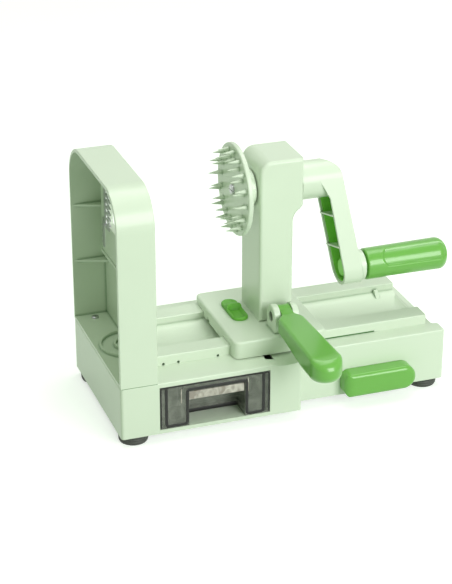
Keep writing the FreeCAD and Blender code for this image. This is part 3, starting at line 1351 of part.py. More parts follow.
GRIP_ROOT_ROUND = 1.0                # rounding of the grip's root edge
GRIP_GROOVES = (60, 180, 300)        # angles of the finger grooves about the grip's axis


def handle_grip():
    """Turning grip: a slightly widening round with a rounded end and three grooves."""
    length, end = size.grip_length, size.grip_end_round
    root, wide, lip = size.grip_root_radius, size.grip_radius, GRIP_ROOT_ROUND
    bulge = 1 - math.sqrt(0.5)
    outline = [
        Vector(0, 0, 0), Vector(0, root - lip, 0),
        (Vector(lip * bulge, root - lip * bulge, 0), Vector(lip, root, 0)),
        Vector(length - end, wide, 0),
        (Vector(length - end * bulge, wide - end * bulge, 0),
         Vector(length, wide - end, 0)), Vector(length, 0, 0),
    ]
    along = Vector(1, 0, 0)
    grip = Part.Face(polygon(outline)).revolve(Vector(), along, 360)
    start = Vector(size.groove_start, 0, wide + size.groove_radius - size.groove_sink)
    for angle in GRIP_GROOVES:
        groove = Part.makeCylinder(size.groove_radius, length, start, along)
        groove = groove.fuse(Part.makeSphere(size.groove_radius, start))
        groove.rotate(Vector(), along, angle)
        grip = grip.cut(groove)
    bore = Part.makeCylinder(size.spindle_radius + size.bore_gap,
                             length - size.spindle_stop + CUT_MARGIN,
                             Vector(-CUT_MARGIN, 0, 0), along)
    grip = grip.cut(bore)
    grip.translate(Vector(GRIP_LEFT, GRIP_Y, GRIP_Z))
    return feature("handle_grip", grip)


# ---------------------------------------------------------------- push lever

def push_lever():
    """Fold-out lever: a narrow knuckle between the ears, then a paddle with a round tip."""
    knuckle, edge = size.lever_knuckle, size.lever_edge
    neck = size.lever_neck / 2
    root, tip = size.lever_root_width / 2, size.lever_tip_width / 2
    top, bottom = PIN_Z + size.lever_top, PIN_Z - knuckle
    belly = PIN_Z - knuckle - size.lever_belly
    belly_y = LEVER_TIP_Y + size.lever_belly_length
    shoulder_y = PIN_Y - size.ear_radius - 2.0
    neck_back = PIN_Y - knuckle / 2
    neck_half = knuckle * 0.88

    def plan(x, y):
        return Vector(PIN_X + x, y, belly - CUT_MARGIN)

    above = [
        plan(-neck, neck_back), plan(-neck, shoulder_y + edge / 2),
        plan(-root, shoulder_y - edge), plan(-tip, LEVER_TIP_Y + tip),
        (plan(0, LEVER_TIP_Y), plan(tip, LEVER_TIP_Y + tip)),
        plan(root, shoulder_y - edge), plan(neck, shoulder_y + edge / 2),
        plan(neck, neck_back),
    ]
    paddle = prism(above, Vector(0, 0, 2 * knuckle + 3 * size.lever_belly))

    def side(y, z):
        return Vector(PIN_X - 2 * tip, y, z)

    beside = [
        side(neck_back, PIN_Z + neck_half), side(shoulder_y, top),
        side(LEVER_TIP_Y - CUT_MARGIN, top), side(LEVER_TIP_Y - CUT_MARGIN, belly),
        side(belly_y, belly), side(belly_y + 2 * size.lever_belly, bottom),
        side(neck_back, PIN_Z - neck_half),
    ]
    bar = paddle.common(prism(beside, Vector(4 * tip, 0, 0)))
    bar = soften(bar, edge, lambda chosen: lies_at(chosen, "z", top)
                 and chosen.BoundBox.YMax < shoulder_y - edge / 2)
    bar = soften(bar, edge * 1.5, lambda chosen: lies_at(chosen, "z", belly)
                 and not runs_along(chosen, "x"))
    round_knuckle = cylinder_x(knuckle, PIN_X - neck, PIN_X + neck, PIN_Y, PIN_Z)
    hole = cylinder_x(size.pin_radius + size.bore_gap, PIN_X - tip, PIN_X + tip,
                      PIN_Y, PIN_Z)
    return feature("push_lever", united(bar, [round_knuckle]).cut(hole))


# ---------------------------------------------------------------- suction foot

PILL_BACK = size.narrow_inset - size.slide_gap
PILL_FRONT = PILL_BACK - size.pill_thick


def suction_lever():
    """Pill-shaped lever on the base's front; it turns about its round right end."""
    x0 = size.pill_left
    z0, z1 = size.pill_bottom, size.pill_bottom + size.pill_height
    plate = span_box(x0, CAM_X, PILL_FRONT, PILL_BACK, z0, z1)
    plate = soften(plate, size.pill_square, lambda edge: lies_at(edge, "x", x0)
                   and (runs_along(edge, "y") or lies_at(edge, "y", PILL_FRONT)))
    lever = united(plate, [cylinder_y(PILL_RADIUS, PILL_FRONT, PILL_BACK, CAM_X, CAM_Z)])
    lever = soften(lever, size.pill_edge, lambda edge: lies_at(edge, "y", PILL_FRONT)
                   and edge.BoundBox.XMin > x0 + CUT_MARGIN)
    socket = cylinder_y(size.shaft_radius, PILL_FRONT + size.pill_socket,
                        PILL_BACK + CUT_MARGIN, CAM_X, CAM_Z)
    return feature("suction_lever", lever.cut(socket))


def cam_centre():
    """Centre of the eccentric with the lever down: half-way below the shaft, to the left."""
    reach = size.cam_offset * math.sqrt(0.5)
    return CAM_X - reach, CAM_Z - reach


BEARING_FRONT = MIDDLE_Y - size.bracket_spread / 2 - size.bracket_wall
BEARING_BACK = MIDDLE_Y + size.bracket_spread / 2


def cam_shaft():
    """Shaft through the front wall, with the eccentric over the suction pad."""
    shaft = cylinder_y(size.shaft_radius, PILL_FRONT + size.pill_socket,
                       BEARING_BACK + size.bracket_wall + CUT_MARGIN, CAM_X, CAM_Z)
    x, z = cam_centre()
    half = size.cam_width / 2
    cam = cylinder_y(size.cam_radius, MIDDLE_Y - half, MIDDLE_Y + half, x, z)
    return feature("cam_shaft", united(shaft, [cam]))


def cam_bracket():
    """Two bearing walls on the bottom cover, one each side of the eccentric."""
    walls = []
    for y0 in (BEARING_FRONT, BEARING_BACK):
        y1 = y0 + size.bracket_wall
        wall = span_box(CAM_X - size.bracket_left, CAM_X + size.bracket_right, y0, y1,
                        size.cover_thick, CAM_Z + size.bracket_rise)
        wall = soften(wall, size.bracket_rise / 2, lambda edge: runs_along(edge, "y")
                      and edge.BoundBox.ZMin > CAM_Z)
        bearing = cylinder_y(size.shaft_radius + size.bore_gap, y0 - CUT_MARGIN,
                             y1 + CUT_MARGIN, CAM_X, CAM_Z)
        walls.append(wall.cut(bearing))
    return feature("cam_bracket", Part.makeCompound(walls))


def suction_plunger():
    """Yoke round the eccentric, with a stem down to the pad."""
    x, z = cam_centre()
    half = size.cam_radius + size.yoke_play
    side = half + 2 * size.cam_offset
    wall = size.yoke_wall
    y_half = size.cam_width / 2 + size.yoke_play
    y0, y1 = MIDDLE_Y - y_half, MIDDLE_Y + y_half
    yoke = span_box(x - side - wall, x + side + wall, y0, y1, z - half - wall, z + half + wall)
    window = span_box(x - side, x + side, y0 - CUT_MARGIN, y1 + CUT_MARGIN,
                      z - half, z + half)
    stem = cylinder_z(size.plunger_radius, -size.pad_top, z - half - wall / 2, x, MIDDLE_Y)
    return feature("suction_plunger", united(yoke.cut(window), [stem]))


PAD_LIP = 1.0            # thickness of the cup's edge


def suction_pad():
    """Shallow rubber cup under the base."""
    x = cam_centre()[0]
    top = -size.pad_top
    low = -size.foot_height + size.pad_clearance
    radius, lip = size.pad_radius, PAD_LIP
    outline = [
        Vector(0, 0, top), Vector(radius * 0.3, 0, top), Vector(radius * 0.4, 0, top - lip),
        Vector(radius - lip, 0, low + lip), Vector(radius, 0, low + lip / 3),
        Vector(radius, 0, low), Vector(radius - 2.5 * lip, 0, low),
        Vector(radius * 0.4, 0, low + 0.7 * lip), Vector(0, 0, low + 0.9 * lip),
    ]
    pad = Part.Face(polygon(outline)).revolve(Vector(), Vector(0, 0, 1), 360)
    pad.translate(Vector(x, MIDDLE_Y, 0))
    return feature("suction_pad", pad)


# ---------------------------------------------------------------- all pieces

PIECES = [
    base_housing, rail_track, bottom_cover, cover_screws, rubber_feet, cam_bracket,
    tower_hood, tower_screws,
    cartridge_frame, slicing_blade, julienne_comb, coring_tube, blade_screws,
    drawer_box, spare_frames, spare_blades,
    carriage_plate, column_body, column_screws, shaft_bushes, hinge_pin,
    latch_button, latch_bolt,
    spiked_disc, disc_screw, drive_shaft, thrust_washers, crank_arm, arm_liner,
    handle_spindle, handle_grip, push_lever,
    suction_lever, cam_shaft, suction_plunger, suction_pad,
]

for piece in PIECES:
    node(piece.__name__, piece())
doc.recompute()

for obj in doc.Objects:
    if "Invalid" in obj.State or "Error" in obj.State:
        raise RuntimeError(f"{obj.Name} failed: {obj.State}")
for body in nodes:
    if body.Shape.isNull() or not body.Shape.isValid() or not body.Shape.Solids:
        raise RuntimeError(f"{body.Label} has no valid solid")

os.makedirs("parts", exist_ok=True)
for body in nodes:
    body.Shape.exportStep(f"parts/{body.Label}.step")
    box = body.Shape.BoundBox
    print(f"{body.Label:18s} solids {len(body.Shape.Solids):2d}  volume {body.Shape.Volume:10.1f}"
          f"  x {box.XMin:8.2f} {box.XMax:8.2f}  y {box.YMin:8.2f} {box.YMax:8.2f}"
          f"  z {box.ZMin:8.2f} {box.ZMax:8.2f}")
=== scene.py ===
import math

import bmesh
import bpy
import numpy as np
from mathutils import Matrix, Vector


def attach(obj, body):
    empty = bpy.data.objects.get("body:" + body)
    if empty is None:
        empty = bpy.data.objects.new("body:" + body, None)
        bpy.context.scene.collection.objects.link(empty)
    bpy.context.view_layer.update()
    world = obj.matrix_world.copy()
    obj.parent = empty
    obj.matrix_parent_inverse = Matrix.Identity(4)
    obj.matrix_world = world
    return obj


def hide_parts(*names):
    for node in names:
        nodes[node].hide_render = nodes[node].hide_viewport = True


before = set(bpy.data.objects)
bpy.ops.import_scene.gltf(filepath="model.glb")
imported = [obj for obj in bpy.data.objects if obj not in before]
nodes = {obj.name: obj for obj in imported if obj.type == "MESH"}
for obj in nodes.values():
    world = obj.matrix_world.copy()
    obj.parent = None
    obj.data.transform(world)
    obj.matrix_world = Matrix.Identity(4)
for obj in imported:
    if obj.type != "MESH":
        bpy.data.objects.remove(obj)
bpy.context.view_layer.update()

MM = 0.001
ORIGIN = np.array([140.875, 31.75, -7.5])   # the frame's origin, from the base's lower corner


# ---------------------------------------------------------------- camera

def place_camera():
    """A long lens that looks over the drawer's front corner, slightly down."""
    azimuth, elevation = math.radians(19.34), math.radians(25.07)
    distance, lens, sensor = 1.54705, 114.9, 36.0
    target = Vector((-0.005875, 0.11782, 0.04317))
    forward = Vector((math.sin(azimuth) * math.cos(elevation),
                      math.cos(azimuth) * math.cos(elevation), -math.sin(elevation)))
    right = Vector((math.cos(azimuth), -math.sin(azimuth), 0.0))
    up = right.cross(forward)
    camera = bpy.data.objects.new("camera", bpy.data.cameras.new("camera"))
    camera.data.sensor_fit = "VERTICAL"
    camera.data.sensor_height = sensor
    camera.data.lens = lens
    camera.data.clip_start, camera.data.clip_end = 0.05, 20.0
    turn = Matrix((right, up, -forward)).transposed().to_4x4()
    camera.matrix_world = Matrix.Translation(target - forward * distance) @ turn
    bpy.context.scene.collection.objects.link(camera)
    bpy.context.scene.camera = camera


# ---------------------------------------------------------------- finishes

def linear(red, green, blue):
    """A colour given in 0 to 255 display steps, as linear light."""
    steps = np.array([red, green, blue]) / 255.0
    light = np.where(steps <= 0.04045, steps / 12.92, ((steps + 0.055) / 1.055) ** 2.4)
    return (*(float(v) for v in light), 1.0)


def new_group(name, inputs, outputs):
    """An empty node group with named sockets; each input is (name, kind, default)."""
    group = bpy.data.node_groups.new(name, "ShaderNodeTree")
    for label, kind, default in inputs:
        socket = group.interface.new_socket(label, in_out="INPUT", socket_type=kind)
        if default is not None:
            socket.default_value = default
    for label, kind in outputs:
        group.interface.new_socket(label, in_out="OUTPUT", socket_type=kind)
    return group, group.nodes.new("NodeGroupInput"), group.nodes.new("NodeGroupOutput")


def math_node(tree, operation, first, second):
    """One math node; each operand is a number or another node's output."""
    node = tree.nodes.new("ShaderNodeMath")
    node.operation = operation
    for socket, value in zip(node.inputs, (first, second)):
        if isinstance(value, (int, float)):
            socket.default_value = value
        else:
            tree.links.new(value, socket)
    return node.outputs[0]


def blend_node(tree, share, first, second):
    """A colour from first at share 0 to second at 1; each a colour or a node's output."""
    node = tree.nodes.new("ShaderNodeMix")
    node.data_type = "RGBA"
    tree.links.new(share, node.inputs[0])
    for socket, value in zip((node.inputs[6], node.inputs[7]), (first, second)):
        if isinstance(value, tuple):
            socket.default_value = value
        else:
            tree.links.new(value, socket)
    return node.outputs[2]


def noise_node(tree, place, scale, detail, distortion=0.0):
    """Noise over a place; the scale is a number or another node's output."""
    node = tree.nodes.new("ShaderNodeTexNoise")
    tree.links.new(place, node.inputs["Vector"])
    if isinstance(scale, float):
        node.inputs["Scale"].default_value = scale
    else:
        tree.links.new(scale, node.inputs["Scale"])
    node.inputs["Detail"].default_value = detail
    node.inputs["Distortion"].default_value = distortion
    return node.outputs["Fac"]


def object_place(tree):
    return tree.nodes.new("ShaderNodeTexCoord").outputs["Object"]


def moulded_and_shade_group():
    """Moulded plastic: a faint cloud in the colour, fine grain in the gloss and height.

    In corners and recesses the colour moves to the painted shade colour: painted shade, darker
    and greener where less light reaches.
    """
    cloud_scale, gloss_swing, reach, samples = 26.0, 0.03, 0.0022, 12
    group, given, result = new_group(
        "moulded_surface_and_painted_shade",
        [("Color", "NodeSocketColor", (0.8, 0.8, 0.8, 1.0)),
         ("Cloud", "NodeSocketFloat", 0.04), ("Roughness", "NodeSocketFloat", 0.4),
         ("Grain Scale", "NodeSocketFloat", 900.0), ("Painted Shade", "NodeSocketColor", None)],
        [("Color", "NodeSocketColor"), ("Roughness", "NodeSocketFloat"),
         ("Height", "NodeSocketFloat")])
    links, place = group.links, object_place(group)
    cloud = noise_node(group, place, cloud_scale, 3.0)
    grain = noise_node(group, place, given.outputs["Grain Scale"], 2.0)
    swing = math_node(group, "MULTIPLY", math_node(group, "SUBTRACT", cloud, 0.5),
                      given.outputs["Cloud"])
    tint = group.nodes.new("ShaderNodeVectorMath")
    tint.operation = "SCALE"
    links.new(given.outputs["Color"], tint.inputs[0])
    links.new(math_node(group, "ADD", swing, 1.0), tint.inputs["Scale"])
    painted_shade_color = group.nodes.new("ShaderNodeVectorMath")
    painted_shade_color.operation = "MULTIPLY"
    links.new(tint.outputs["Vector"], painted_shade_color.inputs[0])
    links.new(given.outputs["Painted Shade"], painted_shade_color.inputs[1])
    # Painted shade: the occlusion share blends the colour towards the painted shade colour in
    # corners and recesses.
    open_share = group.nodes.new("ShaderNodeAmbientOcclusion")
    open_share.samples = samples
    open_share.only_local = True
    open_share.inputs["Distance"].default_value = reach
    links.new(blend_node(group, open_share.outputs["AO"], painted_shade_color.outputs["Vector"],
                         tint.outputs["Vector"]), result.inputs["Color"])
    gloss = math_node(group, "MULTIPLY", math_node(group, "SUBTRACT", grain, 0.5), gloss_swing)
    links.new(math_node(group, "ADD", given.outputs["Roughness"], gloss),
              result.inputs["Roughness"])
    links.new(grain, result.inputs["Height"])
    return group


def reflection_flecks_group():
    """Clear plastic with painted reflections: light flecks of warped noise over a darker ground.
    """
    reflection_share, detail, warp = 0.35, 2.0, 1.6
    group, given, result = new_group(
        "clear_with_painted_reflections",
        [("Ground", "NodeSocketColor", (0.2, 0.2, 0.2, 1.0)),
         ("Fleck", "NodeSocketColor", (0.5, 0.5, 0.5, 1.0)),
         ("Scale", "NodeSocketFloat", 100.0), ("Spread", "NodeSocketFloat", 4.0)],
        [("Color", "NodeSocketColor"), ("Height", "NodeSocketFloat")])
    noise = noise_node(group, object_place(group), given.outputs["Scale"], detail, warp)
    swing = math_node(group, "MULTIPLY", math_node(group, "SUBTRACT", noise, 0.5),
                      given.outputs["Spread"])
    share = math_node(group, "ADD", swing, reflection_share)
    share.node.use_clamp = True
    group.links.new(blend_node(group, share, given.outputs["Ground"], given.outputs["Fleck"]),
                    result.inputs["Color"])
    group.links.new(share, result.inputs["Height"])
    return group


MOULDED_AND_SHADE = moulded_and_shade_group()
REFLECTION_FLECKS = reflection_flecks_group()
# Painted shade colour, darker and greener, that corners and recesses are painted towards.
PAINTED_SHADE_TINT = (0.1, 0.26, 0.1, 1.0)     # what multiplies a colour in the deepest corner


def new_material(name):
    material = bpy.data.materials.new(name)
    material.use_nodes = True
    return material, material.node_tree, material.node_tree.nodes["Principled BSDF"]


def steel(name, color, roughness):
    """Ground steel: a fine streaked gloss along Z over a plain metal."""
    gloss_swing, middle = 0.25, 0.12
    material, tree, shader = new_material(name)
    stretch = tree.nodes.new("ShaderNodeMapping")
    stretch.inputs["Scale"].default_value = (2600.0, 2600.0, 160.0)
    tree.links.new(object_place(tree), stretch.inputs["Vector"])
    streaks = noise_node(tree, stretch.outputs["Vector"], 1.0, 2.0)
    swing = math_node(tree, "MULTIPLY", streaks, gloss_swing)
    tree.links.new(math_node(tree, "ADD", swing, roughness - middle), shader.inputs["Roughness"])
    shader.inputs["Base Color"].default_value = color
    shader.inputs["Metallic"].default_value = 1.0
    return material


def place_look(tree, shader, group, values, bump, depth):
    """A group placed in a material with its own values, and its height on a bump."""
    look = tree.nodes.new("ShaderNodeGroup")
    look.node_tree = group
    for label, value in values.items():
        look.inputs[label].default_value = value
    relief = tree.nodes.new("ShaderNodeBump")
    relief.inputs["Strength"].default_value = bump
    relief.inputs["Distance"].default_value = depth
    tree.links.new(look.outputs["Color"], shader.inputs["Base Color"])
    tree.links.new(look.outputs["Height"], relief.inputs["Height"])
    tree.links.new(relief.outputs["Normal"], shader.inputs["Normal"])
    return look


def clear_with_reflections(name, ground, reflection_color, scale, spread):
    """Clear plastic with painted reflections as light flecks in its colour and height, under a
    thin gloss coat.
    """
    material, tree, shader = new_material(name)
    values = {"Ground": ground, "Fleck": reflection_color, "Scale": scale, "Spread": spread}
    place_look(tree, shader, REFLECTION_FLECKS, values, 0.2, 0.0005)
    shader.inputs["Roughness"].default_value = 0.2
    shader.inputs["Coat Weight"].default_value = 0.3
    shader.inputs["Coat Roughness"].default_value = 0.08
    return material, tree, shader


def smoky(name):
    """Clear smoky plastic: see-through face on, darker and denser at a glancing view."""
    least, gain = 0.48, 0.45
    # Painted reflections: the lighter flecks over the smoky ground.
    material, tree, shader = clear_with_reflections(name, linear(116, 119, 111), linear(156, 158, 150), 75.0, 3.0)
    facing = tree.nodes.new("ShaderNodeLayerWeight")
    facing.inputs["Blend"].default_value = 0.35
    grow = math_node(tree, "MULTIPLY", facing.outputs["Facing"], gain)
    tree.links.new(math_node(tree, "ADD", grow, least), shader.inputs["Alpha"])
    return material


def plastic(name, color, roughness, bump=0.05, coat=0.0, ior=1.5):
    """Moulded plastic in one colour, with cloud, grain, painted shade in corners and recesses,
    and an optional clear coat.
    """
    material, tree, shader = new_material(name)
    values = {"Color": color, "Cloud": 0.05, "Roughness": roughness, "Grain Scale": 900.0,
              "Painted Shade": PAINTED_SHADE_TINT}
    look = place_look(tree, shader, MOULDED_AND_SHADE, values, bump, 0.0002)
    tree.links.new(look.outputs["Roughness"], shader.inputs["Roughness"])
    shader.inputs["Coat Weight"].default_value = coat
    shader.inputs["Coat Roughness"].default_value = 0.12
    shader.inputs["IOR"].default_value = ior
    return material


PALE = plastic("pale_mint_plastic", linear(215, 226, 209), 0.3, bump=0.03, coat=0.1, ior=1.4)
GREEN = plastic("leaf_green_plastic", linear(101, 170, 61), 0.3, bump=0.002, coat=0.42)
MATTE = plastic("matte_green_plastic", linear(99, 170, 57), 0.52, bump=0.012)
# Painted light: a lighter copy of the leaf green for the liner and cap deep in the crank arm's
# hollow, brightening them where shade falls.
LIGHTENED_GREEN = plastic("painted_light_green_plastic", linear(148, 228, 98), 0.45, bump=0.012)
STEEL = steel("ground_steel", linear(190, 192, 192), 0.3)
# Painted shade: a darker copy of the steel for the hinge pin, standing in for the shade inside
# the hinge ear's hole.
SHADED_PIN_STEEL = steel("painted_shade_steel", linear(96, 99, 92), 0.35)
RUBBER = plastic("dark_rubber", linear(70, 72, 68), 0.6, bump=0.1)
SMOKY = smoky("smoky_clear_plastic")
# Painted reflection: a pale pinkish clear with light flecks, for strips that stand in for
# reflections in the drawer's pull and panes.
PAINTED_REFLECTION_CLEAR = clear_with_reflections("painted_reflection_plastic", linear(150, 141, 133), linear(212, 206, 199),
               120.0, 3.2)[0]
OUTLINE = plastic("smoky_wall_edges", linear(20, 21, 19), 0.6)
BEARING = plastic("bearing_plastic", linear(60, 66, 58), 0.55)
# Painted shade: a dark green for the shade in the tower's seam and the rail's slot.
SEAM_SHADE = plastic("seam_shade_plastic", linear(56, 112, 44), 0.6, bump=0.0)


def dress(material, *names):
    """One finish for the nodes of these names."""
    for name in names:
        slots = nodes[name].data.materials
        slots.clear()
        slots.append(material)


dress(PALE, "base_housing", "rail_track", "bottom_cover", "cam_bracket", "tower_hood",
      "cartridge_frame", "spare_frames", "carriage_plate", "column_body", "spiked_disc",
      "crank_arm", "suction_plunger")
dress(GREEN, "latch_button", "latch_bolt", "push_lever", "suction_lever", "handle_grip")
dress(LIGHTENED_GREEN, "arm_liner")
dress(STEEL, "cover_screws", "tower_screws", "column_screws", "blade_screws", "disc_screw",
      "slicing_blade", "julienne_comb", "coring_tube", "spare_blades",
      "drive_shaft", "handle_spindle", "cam_shaft")
dress(SHADED_PIN_STEEL, "hinge_pin")
dress(BEARING, "shaft_bushes", "thrust_washers")
dress(SMOKY, "drawer_box")
dress(RUBBER, "rubber_feet", "suction_pad")


# ---------------------------------------------------------------- surfaces

SAME_POINT = 0.002 * MM
SHARP_EDGE = math.radians(38)


def skin(name, grid, material, body, slot):
    """A surface over a grid of points [row, column, xyz] in millimetres.

    Neighbouring rows and columns join into four-sided faces, the last column joins the
    first, and each end row is closed with one face. Points that fall together are merged.
    """
    rows, columns = grid.shape[:2]
    index = np.arange(rows * columns).reshape(rows, columns)
    onward = np.roll(index, -1, axis=1)
    quads = np.stack([index[:-1], onward[:-1], onward[1:], index[1:]], axis=-1)
    faces = quads.reshape(-1, 4).tolist() + [index[0, ::-1].tolist(), index[-1].tolist()]
    mesh = bpy.data.meshes.new(name)
    mesh.from_pydata(((grid.reshape(-1, 3) - ORIGIN) * MM).tolist(), [], faces)
    clean = bmesh.new()
    clean.from_mesh(mesh)
    bmesh.ops.remove_doubles(clean, verts=clean.verts, dist=SAME_POINT)
    bmesh.ops.recalc_face_normals(clean, faces=clean.faces)
    clean.to_mesh(mesh)
    clean.free()
    mesh.shade_smooth()
    mesh.set_sharp_from_angle(angle=SHARP_EDGE)
    mesh.materials.append(material)
    piece = bpy.data.objects.new(name, mesh)
    bpy.context.scene.collection.objects.link(piece)
    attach(piece, body)
    return piece


def edge_fall(distance, width, height, power=1.7):
    """How far a rounded edge has fallen at a distance in from the outline.

    A quarter superellipse: nothing from width inwards, the whole height at the outline.
    """
    part = np.clip(1 - distance / width, 0.0, 1.0)
    return height * (1 - (1 - part ** power) ** (1 / power))


def cushion(name, along, half, high, low, place, material, body, slot):
    """A closed form between an upper and a lower surface over a plan outline.

    The plan is a half width at every station along; high and low give each surface's
    height from the station and the distance across, and place turns the three into XYZ.
    """
    columns = 57
    across = half[:, None] * np.sin(np.linspace(-math.pi / 2, math.pi / 2, columns))
    station = np.broadcast_to(along[:, None], across.shape)
    top, foot = high(station, across), low(station, across)
    rings = [np.concatenate([one, other[:, ::-1]], axis=1)
             for one, other in ((station, station), (across, across), (top, foot))]
    return skin(name, np.stack(place(*rings), axis=-1), material, body, slot)


def smooth_step(value):
    """0 below 0, 1 above 1, and a smooth S between."""
    part = np.clip(value, 0.0, 1.0)
    return part * part * (3 - 2 * part)


PIN = np.array([140.3, 31.8, 67.9])      # middle of the push lever's hinge pin


def push_lever():
    """Paddle from a knuckle round the hinge pin to a bulb.

    The plan is narrow at the knuckle, flares on an S and ends on a half circle. The top is
    flat with rounded edges and bends down before the bulb; the underside is flat with edges
    that grow rounder towards the bulb, where it is also deeper.
    """
    knuckle, tip, round_end = 8.0, 98.78, 12.5
    neck_half, shank_half, shank_start = 4.8, 10.6, 16.0
    neck, flare_run, knuckle_back = 9.0, 9.0, 4.0
    top_level, top_gain, top_start, top_run = 5.4, 1.64, 11.1, 7.1
    sole_level, sole_gain, sole_run = 7.04, 0.96, 40.0
    bend_depth, bend_start, bend_run = 1.0, 84.0, 9.0
    belly, belly_start, belly_run = 5.4, 28.0, 54.0
    bulb_start, bulb_run = 50.0, 36.0
    edge_width, edge_height = (0.7, 1.7, 4.6), (0.6, 1.6, 4.9)      # knuckle, shank, tip
    sole_edge = (0.6, 2.0, 3.4, 1.6)                                # knuckle, shank, bulb, tip
    cap = tip - round_end

    def beyond(along):
        return np.clip(-along - cap, 0, round_end)

    def flare(along):
        return smooth_step((-along - neck) / flare_run)

    def half_width(along):
        grown = np.clip((-along - shank_start) / (cap - shank_start), 0, 1)
        shank = shank_half + (round_end - shank_half) * grown
        straight = neck_half + (shank - neck_half) * flare(along)
        return np.where(-along > cap, np.sqrt(round_end ** 2 - beyond(along) ** 2), straight)

    def inward(along, across):
        capped = round_end - np.hypot(across, beyond(along))
        return np.where(-along > cap, capped, half_width(along) - np.abs(across))

    def forward(along, across):
        return beyond(along) / np.maximum(np.hypot(across, beyond(along)), 1e-6)

    def around_pin(along, level):
        circle = np.sqrt(np.clip(knuckle ** 2 - along ** 2, 0, None))
        return np.where(along > -knuckle_back, circle, np.maximum(circle, level))

    def high(along, across):
        rising = np.clip((along + top_start) / top_run, 0, 1)
        level = around_pin(along, top_level + top_gain * rising)
        bend = bend_depth * np.clip((-along - bend_start) / bend_run, 0, 1) ** 2
        width, height = (least + more * flare(along) + most * forward(along, across)
                         for least, more, most in (edge_width, edge_height))
        return level - bend - edge_fall(inward(along, across), width, height)

    def low(along, across):
        level = -around_pin(along, sole_level + sole_gain * smooth_step(-along / sole_run))
        level = level - belly * smooth_step((-along - belly_start) / belly_run)
        rise = (sole_edge[0] + sole_edge[1] * flare(along)
                + sole_edge[2] * smooth_step((-along - bulb_start) / bulb_run)
                + sole_edge[3] * forward(along, across))
        return level + edge_fall(inward(along, across), rise, rise, 2.0)

    along = np.concatenate([knuckle * np.cos(np.linspace(0.02, math.pi / 2, 16)),
                            -np.linspace(0.6, 24.0, 44), -np.linspace(25.5, cap - 0.5, 34),
                            -cap - round_end * np.sin(np.linspace(0.01, 1.54, 34))])
    piece = cushion("push_lever_paddle", along, half_width(along), high, low,
                    lambda y, x, z: (PIN[0] + x, PIN[1] + y, PIN[2] + z),
                    GREEN, "push_handle", "green_plastic")
    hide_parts("push_lever")


def suction_pill():
    """Lever front on a pill outline: square left end with round corners, round right end.

    The front's edge falls on a small rounding all round and on a wide one at the left.
    """
    left, right, back, front = 181.4, 241.0, 12.9, -0.1
    middle, radius, corner = 12.1, 9.9, 6.4
    side_width, side_depth, edge = 8.0, 5.6, 3.4
    cap = right - left - radius

    def half_height(along):
        short = np.clip(corner - along, 0, corner)
        start = radius - corner + np.sqrt(corner ** 2 - short ** 2)
        return np.where(along > cap, np.sqrt(np.clip(radius ** 2 - (along - cap) ** 2, 0, None)),
                        start)

    def inward(along, across):
        capped = radius - np.hypot(across, np.clip(along - cap, 0, None))
        return np.where(along > cap, capped, radius - np.abs(across))

    def fall(along, across):
        side = edge_fall(along, side_width, side_depth, 2.0)
        return np.hypot(side, edge_fall(inward(along, across), edge, edge, 1.9))

    along = np.concatenate([[0.0], np.linspace(0.1, 9.0, 40), np.linspace(10.0, cap - 0.5, 12),
                            cap + radius * np.sin(np.linspace(0.01, 1.55, 26))])
    piece = cushion("suction_lever_pill", along, half_height(along),
                    lambda x, z: -front - fall(x, z),
                    lambda x, z: -back + 0 * x,
                    lambda x, z, y: (left + x, -y, middle + z),
                    GREEN, "suction_handle", "green_plastic")
    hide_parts("suction_lever")


GRIP_ROOT = np.array([211.15, 46.667, 93.347])      # the grip's axis at its root
GRIP_LENGTH = 70.6


def around_grip(x, reach, angle):
    """Points at a distance from the grip's axis, for each place along X and angle."""
    return np.stack([np.broadcast_to(x[:, None], reach.shape),
                     GRIP_ROOT[1] + reach * np.cos(angle),
                     GRIP_ROOT[2] + reach * np.sin(angle)], axis=-1)


